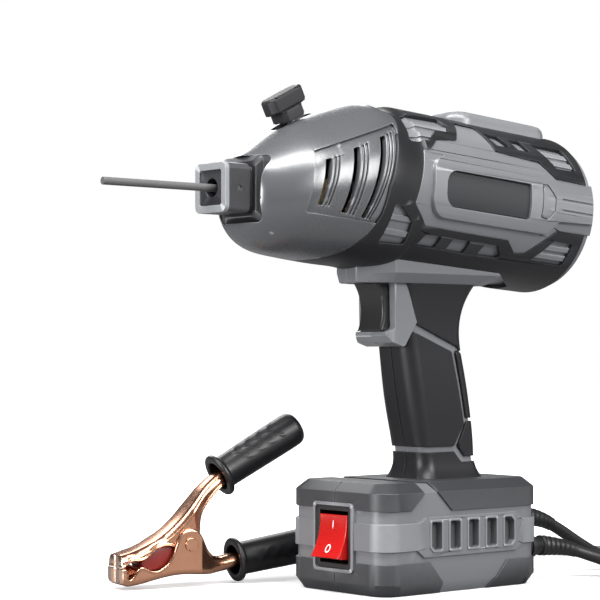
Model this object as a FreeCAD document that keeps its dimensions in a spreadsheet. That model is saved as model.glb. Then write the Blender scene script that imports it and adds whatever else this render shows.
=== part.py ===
import FreeCAD, Part
import math
import os

from FreeCAD import Placement, Rotation, Vector

# A hand-held stick welding gun on a flat base, with its ground clamp, ground
# cable and mains cord.  Millimetres.  +Z is up, the nose and its rod point to
# -X, and the origin is the middle of the base's underside.

SIZES = [
    ("barrel_radius", 51.5),
    ("barrel_length", 146.0),
    ("barrel_tilt", 4.1),
    ("barrel_x", -35.0),
    ("barrel_z", 247.0),
    ("armour_skin", 2.5),
    ("shell_wall", 2.5),
    ("panel_rise", 1.6),
    ("plate_rise", 2.4),
    ("frame_rise", 4.2),
    ("base_length", 136.0),
    ("base_width", 90.0),
    ("base_height", 67.3),
    ("base_corner", 14.0),
    ("bumper_skin", 1.3),
    ("band_rise", 1.6),
    ("grip_skin", 1.8),
    ("rod_diameter", 4.5),
    ("rod_length", 166.0),
    ("rod_clearance", 0.06),
    ("nose_x", -163.0),
    ("nose_z", 241.0),
    ("nose_size", 29.0),
    ("nose_rear_size", 39.0),
    ("nose_bore", 5.5),
    ("knob_length", 29.0),
    ("knob_width", 13.0),
    ("knob_height", 10.0),
    ("knob_lean", 27.0),
    ("screw_radius", 3.0),
    ("trigger_width", 22.0),
    ("trigger_height", 29.0),
    ("slide_gap", 0.4),
    ("rocker_width", 25.0),
    ("rocker_height", 27.0),
    ("fan_radius", 36.0),
    ("cable_diameter", 8.0),
    ("cord_diameter", 8.0),
    ("gland_radius", 7.5),
    ("lever_width", 21.6),
    ("lever_sheet", 1.5),
    ("pivot_radius", 2.4),
    ("pivot_clearance", 0.05),
    ("sleeve_radius", 11.0),
    ("sleeve_length", 64.0),
    ("collar_radius", 14.0),
    ("board_length", 118.0),
    ("board_width", 76.0),
    ("board_thick", 1.6),
    ("sink_length", 52.0),
    ("button_radius", 4.0),
    ("button_height", 5.6),
    ("window_length", 32.0),
    ("window_width", 18.0),
    ("window_depth", 1.2),
    ("window_gap", 0.2),
    ("liner_thick", 1.5),
]

doc = FreeCAD.newDocument("welding_gun")
sheet = doc.addObject("Spreadsheet::Sheet", "sizes")
for row, (alias, number) in enumerate(SIZES, 1):
    sheet.set("A%d" % row, alias)
    sheet.set("B%d" % row, str(number))
    sheet.setAlias("B%d" % row, alias)
doc.recompute()


def size(alias):
    """The number in the sheet's cell of that name."""
    return float(sheet.get(alias))


nodes = []

# The barrel's own frame: its X runs along the barrel's axis to the rear.
barrel_frame = Placement(
    Vector(size("barrel_x"), 0, size("barrel_z")),
    Rotation(Vector(0, 1, 0), size("barrel_tilt")),
)
# The ground clamp's own frame: its X runs from the jaws to the handles.
clamp_frame = Placement(Vector(-151, 98, 0), Rotation(Vector(0, 0, 1), -11.5))


# ---------------------------------------------------------------- helpers
def node(label, shape, place=None):
    """A finished sub-part kept as a Part::Feature of the document."""
    made = doc.addObject("Part::Feature", label)
    made.Label = label
    made.Shape = shape
    if place is not None:
        made.Placement = place
    nodes.append(made)
    return made


def keep(made, label, place=None):
    """A parametric object kept as a sub-part."""
    made.Label = label
    if place is not None:
        made.Placement = place
    nodes.append(made)
    return made


def bind(made, **cells):
    """Binds each property of an object to an expression on the sheet."""
    for name, words in cells.items():
        made.setExpression(name, words)
    return made


def box(x0, x1, y0, y1, z0, z1):
    return Part.makeBox(x1 - x0, y1 - y0, z1 - z0, Vector(x0, y0, z0))


def cylinder(radius, start, end):
    """A round bar between two points."""
    a = Vector(*start)
    along = Vector(*end) - a
    return Part.makeCylinder(radius, along.Length, a, along)


def tube(outer, inner, start, end):
    return cylinder(outer, start, end).cut(cylinder(inner, start, end))


def rounded_wire(points, radius):
    """A closed outline of straight sides with an arc at every corner.

    radius is one number, or a list with one number for each corner."""
    count = len(points)
    radii = radius if isinstance(radius, list) else [radius] * count
    edges = []
    ends = []
    for i in range(count):
        here = points[i]
        before = (points[i - 1] - here).normalize()
        after = (points[(i + 1) % count] - here).normalize()
        half = before.getAngle(after) / 2
        room = min((points[i - 1] - here).Length, (points[(i + 1) % count] - here).Length) * 0.45
        reach = min(radii[i] / math.tan(half), room)
        arc = reach * math.tan(half)
        bisector = (before + after).normalize()
        middle = here + bisector * (arc / math.sin(half) - arc)
        ends.append((here + before * reach, middle, here + after * reach))
    for i in range(count):
        start, middle, end = ends[i]
        following = ends[(i + 1) % count][0]
        edges.append(Part.Arc(start, middle, end).toShape())
        edges.append(Part.LineSegment(end, following).toShape())
    return Part.Wire(edges)


def outline(points, radius, place):
    """A face from two-number points; place turns each into a Vector."""
    corners = [place(a, b) for a, b in points]
    if isinstance(radius, list) or radius > 0:
        return Part.Face(rounded_wire(corners, radius))
    return Part.Face(Part.makePolygon(corners + [corners[0]]))


def prism_y(points, y0, y1, radius=0.0):
    """An outline in X and Z pushed along Y."""
    return outline(points, radius, lambda a, b: Vector(a, y0, b)).extrude(Vector(0, y1 - y0, 0))


def prism_z(points, z0, z1, radius=0.0):
    return outline(points, radius, lambda a, b: Vector(a, b, z0)).extrude(Vector(0, 0, z1 - z0))


def prism_x(points, x0, x1, radius=0.0):
    return outline(points, radius, lambda a, b: Vector(x0, a, b)).extrude(Vector(x1 - x0, 0, 0))


def rectangle(half_a, half_b, centre_a=0.0, centre_b=0.0):
    return [
        (centre_a - half_a, centre_b - half_b),
        (centre_a + half_a, centre_b - half_b),
        (centre_a + half_a, centre_b + half_b),
        (centre_a - half_a, centre_b + half_b),
    ]


def level_wire(z, centre, half_x, half_y, corner):
    """A level rounded rectangle, for a loft that rises along Z."""
    return rounded_wire([Vector(a, b, z) for a, b in rectangle(half_x, half_y, centre)], corner)


def fuse(shapes):
    return shapes[0].multiFuse(shapes[1:]) if len(shapes) > 1 else shapes[0]


def side_half(shape, side, gap=0.0):
    """The part of a shape on one side of the middle plane, gap off it."""
    reach = 400
    if side < 0:
        return shape.common(box(-reach, reach, -reach, -gap, -reach, reach))
    return shape.common(box(-reach, reach, gap, reach, -reach, reach))


# ---------------------------------------------------------------- barrel
R = size("barrel_radius")
LENGTH = size("barrel_length")
ARMOUR = size("armour_skin")
WALL = size("shell_wall")
SHELL_R = R - ARMOUR
INNER_R = SHELL_R - WALL
REAR_CHAMFER, REAR_LIP = 6.0, 4.0

# Front cone: distance along the axis, drop of the circle's centre, and how
# much smaller than the barrel the circle is.
CONE = [
    (-106.0, -14.0, 31.0),
    (-100.0, -16.2, 24.0),
    (-90.0, -14.6, 17.6),
    (-78.0, -10.8, 12.4),
    (-60.0, -6.6, 7.4),
    (-40.0, -2.6, 3.0),
    (-20.0, -0.7, 0.7),
    (0.0, 0.0, 0.0),
]


def barrel_body(inset, end=LENGTH):
    """The cone and barrel as one solid, shrunk by inset, in the barrel's frame."""
    wires = []
    for s, drop, less in CONE:
        ring = Part.makeCircle(R - less - inset, Vector(s, 0, drop), Vector(1, 0, 0))
        wires.append(Part.Wire(ring))
    cone = Part.makeLoft(wires, True, False)
    barrel = cylinder(R - inset, (0, 0, 0), (end, 0, 0))
    return cone.fuse(barrel)


SEAM = [
    (-3.0, 60.0),
    (-5.5, 50.0),
    (-9.5, 45.0),
    (-15.4, 36.2),
    (-22.3, 26.0),
    (-28.0, 8.0),
    (-31.6, -5.5),
    (-32.9, -22.0),
    (-36.2, -33.4),
    (-43.2, -43.8),
    (-52.2, -49.0),
    (-64.4, -51.5),
    (-75.0, -60.0),
]
SEAM_GAP = 0.35


def ahead_of_seam(shift):
    """Everything in front of the seam line, moved back by shift."""
    line = [(s + shift, u) for s, u in SEAM]
    return prism_y(line + [(-140, -60), (-140, 60)], -70, 70)


def rear_chamfer_tool(radius, depth, reach):
    """What a chamfer of that depth takes off the rear rim."""
    ring = cylinder(radius + 5, (LENGTH - depth, 0, 0), (reach, 0, 0))
    cone = Part.makeCone(radius, radius - depth * 0.9, depth, Vector(LENGTH - depth, 0, 0), Vector(1, 0, 0))
    rest = cylinder(radius - depth * 0.9, (LENGTH, 0, 0), (reach, 0, 0))
    return ring.cut(cone).cut(rest)


skin_outer = barrel_body(0.0)
skin_inner = barrel_body(ARMOUR)
shell_inner = barrel_body(ARMOUR + WALL, LENGTH + 1)
front_cavity = barrel_body(ARMOUR + WALL)

# The side panel's outline along the axis and up from it.
PANEL = [
    (11.5, 29.5),
    (29.3, 31.5),
    (41.2, 45.0),
    (57.9, 44.4),
    (62.6, 29.0),
    (100.0, 27.0),
    (112.4, 17.5),
    (LENGTH + 3, 17.0),
    (LENGTH + 3, -15.2),
    (115.0, -15.6),
    (94.6, -31.8),
    (85.8, -32.7),
    (75.0, -25.8),
    (3.1, -25.0),
    (-10.2, -12.6),
    (-2.5, 20.7),
    (3.4, 22.5),
]
PANEL_CORNER = 1.2
PANEL_GAP = 0.3

# Windows in the armour, each with the height of its middle.
WINDOWS = [
    [
        (-4.5, 44.4),
        (-8.5, 34.2),
        (-10.8, 27.7),
        (4.4, 28.0),
        (14.5, 36.0),
        (26.0, 36.4),
        (30.0, 41.0),
        (28.0, 45.6),
    ],
    [(-25.5, -15.8), (-19.5, -16.5), (-8.2, -24.0), (-6.5, -36.5), (-25.5, -37.7)],
    [(6.5, -29.6), (20.3, -29.6), (19.2, -36.6), (3.5, -36.4)],
    [(29.8, -29.8), (44.9, -29.8), (44.6, -37.2), (28.4, -36.8)],
    [(57.4, -29.8), (69.1, -29.9), (76.8, -36.8), (55.5, -37.0)],
    [(115.0, -22.3), (132.4, -22.7), (132.6, -36.0), (101.5, -36.0)],
    [(60.1, 41.2), (73.4, 40.8), (79.4, 34.3), (67.1, 33.5)],
    [(81.4, 40.4), (93.1, 40.2), (96.8, 33.1), (85.3, 33.5)],
    [(101.8, 40.2), (131.1, 39.6), (133.7, 25.4), (115.6, 25.0)],
]
WINDOW_CORNER = 1.4
# Four of the windows show ribs that stand up from the shell behind them.
RIBBED_WINDOWS = (0, 1, 5, 8)
RIB_HALF, RIB_RISE, RIB_GAP = 1.5, 1.3, 0.2
RIB_PLACES = (0.27, 0.66)


def radial_prism(points, side, low, high, corner=0.0):
    """An outline drawn on the barrel's surface, cut straight towards the axis.

    Each point's height gives its angle round the axis, and the outline lies
    flat on the plane that touches the barrel at the outline's middle angle."""
    angles = [math.asin(max(-1.0, min(1.0, u / R))) for _, u in points]
    middle = (min(angles) + max(angles)) / 2
    out = Vector(0, side * math.cos(middle), math.sin(middle))
    up = Vector(0, -side * math.sin(middle), math.cos(middle))

    def place(s, angle):
        return Vector(s, 0, 0) + out * low + up * (R * math.tan(angle - middle))

    flat = outline([(s, a) for (s, _), a in zip(points, angles)], corner, place)
    return flat.extrude(out * (high - low))


def offset(points, amount):
    """An outline with every side moved outwards by amount."""
    following = points[1:] + points[:1]
    area = sum(a[0] * b[1] - b[0] * a[1] for a, b in zip(points, following))
    turn = math.copysign(1.0, area)
    moved = []
    for before, here, after in zip(points[-1:] + points[:-1], points, following):
        here = Vector(*here, 0)
        into = (here - Vector(*before, 0)).normalize()
        out = (Vector(*after, 0) - here).normalize()
        side_in = Vector(into.y, -into.x, 0) * turn
        side_out = Vector(out.y, -out.x, 0) * turn
        here = here + (side_in + side_out) * (amount / (1.0 + side_in.dot(side_out)))
        moved.append((here.x, here.y))
    return moved


def panel_prism(points, side, corner=0.0, reach=70.0):
    y0, y1 = (0.0, reach) if side > 0 else (-reach, 0.0)
    return prism_y(points, y0, y1, corner)


def curved_pad(points, side, low, high, corner=0.0, end=LENGTH):
    """A pad of even thickness on the barrel's side, between two radii."""
    ring = tube(high, low, (-40, 0, 0), (end, 0, 0))
    return ring.common(panel_prism(points, side, corner))


# The hump for the read-out on top, at the rear: a long pad whose rim rounds
# over, given as heights under its top and how far in each outline lies.
HUMP_FRONT, HUMP_REAR, HUMP_HALF, HUMP_TOP, HUMP_CORNER = 50.0, 137.0, 19.0, 56.5, 14.0
HUMP_ROWS = [(-16.5, 0.0), (-5.5, 0.0), (-2.6, 1.0), (-0.9, 2.6), (0.0, 5.4)]


def hump_body(extra):
    """The hump as a solid down to the shell, larger by extra all round."""
    middle = (HUMP_FRONT + HUMP_REAR) / 2
    half = (HUMP_REAR - HUMP_FRONT) / 2 + extra
    wires = []
    for drop, inward in HUMP_ROWS:
        corner = HUMP_CORNER + extra - inward
        wires.append(level_wire(HUMP_TOP + drop, middle, half - inward, HUMP_HALF + extra - inward, corner))
    return Part.makeLoft(wires, True, True)


# Saddle under the barrel, guard round the trigger, handle and base.
SADDLE_FLOOR = 188.5


def mirrored(points):
    """A plan from its near half: the far half follows in reverse order."""
    return points + [(x, -y) for x, y in reversed(points)]


saddle_plan = mirrored([(-58, -9), (-53, -14), (-40, -25.5), (50, -25.5), (72, -10)])
saddle_low = mirrored([(-57, -8), (-52, -12), (-38, -20), (34, -20), (52, -8)])
SADDLE_MID = SADDLE_FLOOR + 6
SADDLE_TOP = SADDLE_FLOOR + 22


def saddle():
    low = rounded_wire([Vector(a, b, SADDLE_FLOOR) for a, b in saddle_low], 3)
    middle = rounded_wire([Vector(a, b, SADDLE_MID) for a, b in saddle_plan], 3)
    lower = Part.makeLoft([low, middle], True, True)
    return lower.fuse(prism_z(saddle_plan, SADDLE_MID, SADDLE_TOP, 3))


# The guard's outline from the side; its plan has round front corners.
GUARD = [
    (-36, 192),
    (-33, 187),
    (-32.5, 160.5),
    (-39.5, 158.0),
    (-34.5, 152.0),
    (-25, 149.0),
    (-14, 165),
    (-12, 192),
]
GUARD_ROUND = 2.6
GUARD_HALF, GUARD_FRONT, GUARD_REAR, GUARD_CORNER = 16.9, -41.0, 20.0, 10.0


def guard():
    """The grey strip behind the trigger and the lip under it."""
    middle = (GUARD_FRONT + GUARD_REAR) / 2
    half = (GUARD_REAR - GUARD_FRONT) / 2
    column = prism_z(rectangle(half, GUARD_HALF, middle), 140, 195, GUARD_CORNER)
    return column.common(prism_y(GUARD, -40, 40, GUARD_ROUND))


# Handle: height, middle, half length, half width, corner.
HANDLE = [
    (62.0, 15.7, 29.0, 23.0, 10.0),
    (67.0, 15.7, 27.5, 21.0, 10.0),
    (74.0, 15.7, 24.6, 18.0, 9.0),
    (86.0, 14.8, 24.3, 17.0, 9.0),
    (112.0, 10.2, 25.5, 17.6, 10.0),
    (135.0, 6.0, 25.3, 17.2, 10.0),
    (150.0, 3.4, 24.8, 16.6, 9.5),
    (165.0, 2.4, 25.0, 17.0, 9.0),
    (180.0, 4.0, 28.0, 18.6, 9.0),
    (190.0, 6.0, 32.5, 20.6, 9.0),
]


def handle(inset, low=0.0):
    """The handle's loft, shrunk by inset; low drops its lowest section."""
    wires = []
    for i, (z, centre, half_x, half_y, corner) in enumerate(HANDLE):
        level = z - low if i == 0 else z
        wires.append(level_wire(level, centre, half_x - inset, half_y - inset, max(corner - inset, 2.0)))
    lower = Part.makeLoft(wires, True, False)
    z, centre, half_x, half_y, corner = HANDLE[-1]
    top = prism_z(rectangle(half_x - inset, half_y - inset, centre), z, z + 14, max(corner - inset, 2.0))
    return lower.fuse(top)


# Base: height, and how far in from the outside.
BASE_X = size("base_length") / 2
BASE_Y = size("base_width") / 2
BASE_Z = size("base_height")
CORNER = size("base_corner")
FOOT_BEVEL, FOOT_RISE, TOP_BEVEL, TOP_DROP = 4.5, 7.2, 6.5, 5.8


def base_block(inset, top=BASE_Z, bottom=0.0, squeeze=0.0):
    """The base's bevelled block with its walls moved in by inset."""
    rows = [
        (bottom, inset + FOOT_BEVEL),
        (FOOT_RISE, inset),
        (BASE_Z - TOP_DROP, inset),
        (top, inset + TOP_BEVEL),
    ]
    wires = []
    for z, inward in rows:
        corner = max(CORNER - inward * 0.6 - squeeze, 3.0)
        wires.append(level_wire(z, 0.0, BASE_X - inward, BASE_Y - inward, corner))
    return Part.makeLoft(wires, True, True)


SKIN = size("bumper_skin")
base_outer = base_block(0.0)
base_core = base_block(SKIN, BASE_Z - 0.9)
base_cavity = base_block(SKIN + WALL, BASE_Z - 0.9 - WALL, WALL)
base_band = base_block(SKIN - size("band_rise"), BASE_Z + 2, 0.0)

# Level lines round the base, and the slants that end each bumper.
UPPER_LINE, LOWER_LINE, LOWER_REAR_LINE = 51.0, 19.5, 17.0
UPPER_REAR_LINE = 49.8
UPPER_FRONT = [(-90, 80), (-41, 80), (-34.5, 60.5), (-45.0, UPPER_LINE), (-90, UPPER_LINE)]
UPPER_REAR = [(90, 80), (-32, 80), (-24.0, 62.0), (-11.5, UPPER_REAR_LINE), (90, UPPER_REAR_LINE)]
LOWER_FRONT = [(-90, -5), (-18, -5), (-19, 6.5), (-30.0, LOWER_LINE), (-90, LOWER_LINE)]
LOWER_REAR = [(90, -5), (18, -5), (24.0, 4.0), (36.0, LOWER_REAR_LINE), (90, LOWER_REAR_LINE)]
BAND = [
    (-90, 27),
    (-41, 27),
    (-35, 22.5),
    (43, 22.5),
    (49, 26.5),
    (90, 26.5),
    (90, 42),
    (49, 42),
    (44.5, 46.5),
    (-33, 46.5),
    (-38.5, 43.5),
    (-90, 43.5),
]

SWITCH_Z = 34.0
FRAME_HALF_Y, FRAME_HALF_Z, RIM = 18.3, 21.0, 2.0
frame_outline = rectangle(FRAME_HALF_Y, FRAME_HALF_Z, 0, SWITCH_Z)
opening_outline = rectangle(FRAME_HALF_Y - RIM, FRAME_HALF_Z - RIM, 0, SWITCH_Z)
switch_frame_zone = prism_x(frame_outline, -90, -BASE_X + 8, 3.0)
switch_hole = prism_x(opening_outline, -90, -BASE_X + 12, 2.0)
rim_ring = prism_x(frame_outline, -BASE_X - 1.4, -BASE_X + 3.5, 3.0)
rim_ring = rim_ring.cut(prism_x(opening_outline, -BASE_X - 2, -BASE_X + 8, 2.0))

# Vent slots in the base's sides.
VENT_X = [-25.6 + 15.65 * i for i in range(5)]
VENT_HALF_X, VENT_LOW, VENT_HIGH, VENT_RIM, VENT_CUT = 4.2, 26.6, 43.6, 1.3, 2.6


def vent_outline(x, index, extra):
    """One slot; the two end slots have their outer corners cut off."""
    half = VENT_HALF_X + extra
    low = VENT_LOW - extra
    high = VENT_HIGH + extra
    near = [(x - half, low), (x - half, high)]
    far = [(x + half, high), (x + half, low)]
    if index == 0:
        near = [(x - half + VENT_CUT, low), (x - half, low + VENT_CUT), (x - half, high)]
    if index == len(VENT_X) - 1:
        far = [(x + half - VENT_CUT, high), (x + half, high - VENT_CUT)]
        far += [(x + half, low + VENT_CUT), (x + half - VENT_CUT, low)]
    return near + far


vent_holes = []
vent_rims = []
for index, x in enumerate(VENT_X):
    vent_holes.append(prism_y(vent_outline(x, index, 0.0), -BASE_Y - 4, BASE_Y + 4, 1.2))
    vent_rims.append(prism_y(vent_outline(x, index, VENT_RIM), -BASE_Y - 1.1, BASE_Y + 1.1, 1.8))
vent_holes = fuse(vent_holes)
rim_zone = box(-60, 60, -BASE_Y - 2, -BASE_Y + 3, 10, 60).fuse(box(-60, 60, BASE_Y - 3, BASE_Y + 2, 10, 60))
vent_rims = fuse(vent_rims).common(rim_zone)

band_wrap = base_band.common(prism_y(BAND, -80, 80, 1.5))

# ---------------------------------------------------------------- shells
barrel_shell = skin_inner.cut(ahead_of_seam(SEAM_GAP))
barrel_shell.Placement = barrel_frame
barrel_hollow = shell_inner.copy()
barrel_hollow.Placement = barrel_frame
barrel_skin = skin_outer.copy()
barrel_skin.Placement = barrel_frame
front_zone = ahead_of_seam(SEAM_GAP)
front_zone.Placement = barrel_frame

GRIP = size("grip_skin")
guard_block = guard()
under_barrel = saddle().fuse(guard_block).cut(front_zone)
handle_core = handle(GRIP)
handle_outer = handle(0.0)
handle_hollow = handle(GRIP + WALL, 3.0)

TRIGGER_HALF = size("trigger_width") / 2
TRIGGER_GAP = size("slide_gap")
TRIGGER_LOW = 159.2
TRIGGER_HIGH = TRIGGER_LOW + size("trigger_height")
trigger_pocket = box(
    -60,
    -17,
    -TRIGGER_HALF - TRIGGER_GAP,
    TRIGGER_HALF + TRIGGER_GAP,
    TRIGGER_LOW - TRIGGER_GAP,
    TRIGGER_HIGH + TRIGGER_GAP,
)

whole = fuse([barrel_shell, under_barrel, handle_core, base_core, band_wrap])
hollow = fuse([barrel_hollow, handle_hollow, base_cavity])
rib_stock = barrel_body(ARMOUR - RIB_RISE)
ribs = []
for index in RIBBED_WINDOWS:
    points = WINDOWS[index]
    front, rear = min(s for s, _ in points), max(s for s, _ in points)
    low_u, high_u = min(u for _, u in points), max(u for _, u in points)
    for side in (-1, 1):
        window = radial_prism(offset(points, -RIB_GAP), side, SHELL_R - 3, R + 3, WINDOW_CORNER)
        for share in RIB_PLACES:
            u = low_u + share * (high_u - low_u)
            bar = rectangle((rear - front) / 2, RIB_HALF, (front + rear) / 2, u)
            rib = radial_prism(bar, side, SHELL_R - 6, R + 6)
            ribs.append(rib_stock.common(window.common(rib)))
for rib in ribs:
    rib.Placement = barrel_frame

# Glands for the two leads, on the rear of the base.
MAINS_Y, MAINS_Z = -30.0, 22.0
GROUND_Y, GROUND_Z = -12.0, 40.0
GLAND_BODY = size("gland_radius")
mains_hole = cylinder(GLAND_BODY - 1.5, (40, MAINS_Y, MAINS_Z), (90, MAINS_Y, MAINS_Z))
ground_hole = cylinder(GLAND_BODY - 1.5, (40, GROUND_Y, GROUND_Z), (90, GROUND_Y, GROUND_Z))

# Shell screws go in from the far side.
SCREWS = [(-52.0, 35.0, 24.0), (57.0, 35.0, 24.0), (12.0, 102.0, 10.0), (7.0, 132.0, 10.0)]
SCREW_HEAD, SCREW_SHANK = 3.0, 1.5


def screw_far_y(height):
    """Where the far wall's outside is, at a screw's height."""
    return BASE_Y - SKIN if height < BASE_Z else 15.2


screw_cuts = []
screw_solids = []
for x, z, depth in SCREWS:
    face = screw_far_y(z)
    screw_cuts.append(cylinder(SCREW_HEAD + 0.3, (x, face - 1.6, z), (x, face + 8, z)))
    screw_cuts.append(cylinder(SCREW_SHANK + 0.2, (x, face - 6, z), (x, face + 1, z)))
    head = cylinder(SCREW_HEAD, (x, face - 1.6, z), (x, face + 0.2, z))
    recess = box(x - 2.0, x + 2.0, face - 0.8, face + 1, z - 0.45, z + 0.45).fuse(
        box(x - 0.45, x + 0.45, face - 0.8, face + 1, z - 2.0, z + 2.0)
    )
    shank = cylinder(SCREW_SHANK, (x, face - depth, z), (x, face - 1.6, z))
    screw_solids.append(head.cut(recess).fuse(shank))
screw_cuts = fuse(screw_cuts)

whole = fuse([whole, vent_rims, rim_ring] + ribs)
casing = whole.cut(hollow)
for tool in (trigger_pocket, switch_hole, vent_holes, mains_hole, ground_hole):
    casing = casing.cut(tool)
node("left_shell", side_half(casing, -1))
node("right_shell", side_half(casing, 1).cut(screw_cuts))
node("shell_screws", Part.makeCompound(screw_solids))

# ---------------------------------------------------------------- front housing
NOSE_X = size("nose_x")
NOSE_Z = size("nose_z")
NOSE_HALF = size("nose_size") / 2
REAR_HALF = size("nose_rear_size") / 2
BEZEL_DEPTH, FRONT_DEPTH, GROOVE_DEPTH, BLOCK_END = 3.0, 15.0, 3.0, -112.0

LOUVRE_FIELD = [(-77.5, 11.0), (-19.5, 35.5), (-31.0, -27.5), (-83.0, -26.0)]
LOUVRE_DEPTH = 1.6
# Each louvre from its top front corner, clockwise.  Its front part is open,
# and two grooves behind that leave ribs between them.
LOUVRES = [
    [(-71.4, 6.2), (-61.9, 10.0), (-68.5, -20.8), (-76.2, -21.0)],
    [(-52.8, 15.1), (-42.7, 19.9), (-50.8, -24.5), (-59.8, -23.5)],
    [(-33.8, 24.4), (-23.7, 29.0), (-38.6, -25.6), (-45.5, -25.2)],
]
LOUVRE_OPEN = (0.0, 0.45)
LOUVRE_GROOVES = [(0.56, 0.74), (0.84, 1.0)]
LOUVRE_GROOVE_DEPTH = 1.3


def louvre_strip(louvre, start, end):
    """The part of a louvre between two shares of its width."""
    top_front, top_rear, low_rear, low_front = [Vector(*point, 0) for point in louvre]
    top = top_rear - top_front
    low = low_rear - low_front
    corners = [top_front + top * start, top_front + top * end, low_front + low * end, low_front + low * start]
    return [(corner.x, corner.y) for corner in corners]


# The clamp screw leans with the ridge that it stands on.
LEAN = math.radians(size("knob_lean"))
screw_foot = Vector(-80.0, 0, NOSE_Z)
knob_frame = Placement(screw_foot, Rotation(Vector(0, 1, 0), -size("knob_lean")))
KNOB_SEAT = 50.3

housing = skin_outer.common(ahead_of_seam(0.0)).cut(front_cavity)
recess_skin = skin_outer.cut(barrel_body(LOUVRE_DEPTH))
groove_skin = skin_outer.cut(barrel_body(LOUVRE_DEPTH + LOUVRE_GROOVE_DEPTH))
for side in (-1, 1):
    housing = housing.cut(recess_skin.common(panel_prism(LOUVRE_FIELD, side, 1.5)))
    for louvre in LOUVRES:
        for start, end in LOUVRE_GROOVES:
            strip = panel_prism(louvre_strip(louvre, start, end), side, 0.5)
            housing = housing.cut(groove_skin.common(strip))
for louvre in LOUVRES:
    housing = housing.cut(prism_y(louvre_strip(louvre, *LOUVRE_OPEN), -70, 70, 1.0))
housing.Placement = barrel_frame
block_hole = prism_x(rectangle(REAR_HALF + 0.3, REAR_HALF + 0.3, 0, NOSE_Z), -170, -100, 4.5)
knob_slot = prism_z(rectangle(15.0, 5.5), 30, 70, 5.4)
knob_slot.Placement = knob_frame
housing = housing.cut(block_hole).cut(knob_slot).cut(under_barrel)
node("front_housing", housing)

bezel = prism_x(rectangle(NOSE_HALF, NOSE_HALF, 0, NOSE_Z), NOSE_X, NOSE_X + BEZEL_DEPTH, 4.0)
BEZEL_INNER = 10.3
bezel = bezel.cut(prism_x(rectangle(BEZEL_INNER, BEZEL_INNER, 0, NOSE_Z), NOSE_X - 1, NOSE_X + 5, 1.5))
node("nose_bezel", bezel)

front_end = NOSE_X + BEZEL_DEPTH + FRONT_DEPTH
block = prism_x(rectangle(NOSE_HALF, NOSE_HALF, 0, NOSE_Z), NOSE_X + BEZEL_DEPTH, front_end, 4.0)
step = front_end + GROOVE_DEPTH
neck = rectangle(NOSE_HALF - 1.5, NOSE_HALF - 1.5, 0, NOSE_Z)
block = block.fuse(prism_x(neck, front_end, step, 3.5))


def block_wire(x, half):
    """A round-cornered square across the nose."""
    return rounded_wire([Vector(x, a, b) for a, b in rectangle(half, half, 0, NOSE_Z)], 4.0)


flange_rows = [(step, NOSE_HALF + 1.5), (step + 3, REAR_HALF), (BLOCK_END, REAR_HALF)]
flange = Part.makeLoft([block_wire(x, half) for x, half in flange_rows], True, True)
block = block.fuse(flange)
bezel_plug = rectangle(BEZEL_INNER - 0.1, BEZEL_INNER - 0.1, 0, NOSE_Z)
block = block.fuse(prism_x(bezel_plug, NOSE_X + 1.2, NOSE_X + 4, 1.4))
ROD_R = size("rod_diameter") / 2
ROD_HOLE = ROD_R + size("rod_clearance")
block = block.cut(cylinder(size("nose_bore"), (NOSE_X, 0, NOSE_Z), (NOSE_X + 12, 0, NOSE_Z)))
block = block.cut(cylinder(ROD_HOLE + 0.6, (NOSE_X, 0, NOSE_Z), (BLOCK_END + 1, 0, NOSE_Z)))
SIDE_SCREW_X, SIDE_SCREW_R = -152.5, 1.3
side_screws = []
for side in (-1, 1):
    inner_end = (SIDE_SCREW_X, side * (NOSE_HALF - 5), NOSE_Z)
    block = block.cut(cylinder(SIDE_SCREW_R, inner_end, (SIDE_SCREW_X, side * (NOSE_HALF + 2), NOSE_Z)))
    side_screws.append(cylinder(SIDE_SCREW_R, inner_end, (SIDE_SCREW_X, side * (NOSE_HALF - 0.8), NOSE_Z)))
node("nose_block", block)
node("nose_screws", Part.makeCompound(side_screws))

# Rod holder, plunger, screw and knob.
HOLDER_FRONT, HOLDER_REAR, HOLDER_HALF = BLOCK_END, -62.0, 9.0
PLUNGER_R, PLUNGER_BORE, PLUNGER_TOP, PLUNGER_GAP = 3.5, 2.05, 20.0, 0.05
holder = box(HOLDER_FRONT, HOLDER_REAR, -HOLDER_HALF, HOLDER_HALF, NOSE_Z - HOLDER_HALF, NOSE_Z + HOLDER_HALF)
holder = holder.cut(cylinder(ROD_HOLE, (-200, 0, NOSE_Z), (-70, 0, NOSE_Z)))
plunger_hole = cylinder(PLUNGER_R + PLUNGER_GAP, (0, 0, ROD_R), (0, 0, 40))
plunger_hole.Placement = knob_frame
holder = holder.cut(plunger_hole)
node("rod_holder", holder)

plunger = cylinder(PLUNGER_R, (0, 0, ROD_R + 2.2), (0, 0, PLUNGER_TOP))
plunger = plunger.cut(cylinder(PLUNGER_BORE, (0, 0, 9.0), (0, 0, PLUNGER_TOP + 1)))
node("clamp_plunger", plunger, knob_frame)

SCREW_R = size("screw_radius")
screw = cylinder(PLUNGER_BORE - 0.05, (0, 0, 12.0), (0, 0, PLUNGER_TOP + 4))
screw = screw.fuse(cylinder(SCREW_R, (0, 0, PLUNGER_TOP + 4), (0, 0, KNOB_SEAT)))
node("clamp_screw", screw, knob_frame)

KNOB_HALF = size("knob_length") / 2
KNOB_SIDE = size("knob_width") / 2
KNOB_TALL = size("knob_height")
STEM_TALL = 6.5
stem_plan = mirrored([(-9, -4), (-7, -8), (5, -8), (9, -4)])
stem = prism_z(stem_plan, KNOB_SEAT, KNOB_SEAT + STEM_TALL, 0.8)
BAR_BEVEL = 1.2


def bar_wire(level, shrink):
    """The wing's six-sided plan, smaller by shrink all round."""
    half = KNOB_HALF - shrink
    wide = KNOB_SIDE - shrink
    plan = mirrored([(-half, -3), (-half + 4, -wide), (half - 4, -wide), (half, -3)])
    return rounded_wire([Vector(a, b, level) for a, b in plan], 0.8)


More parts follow.
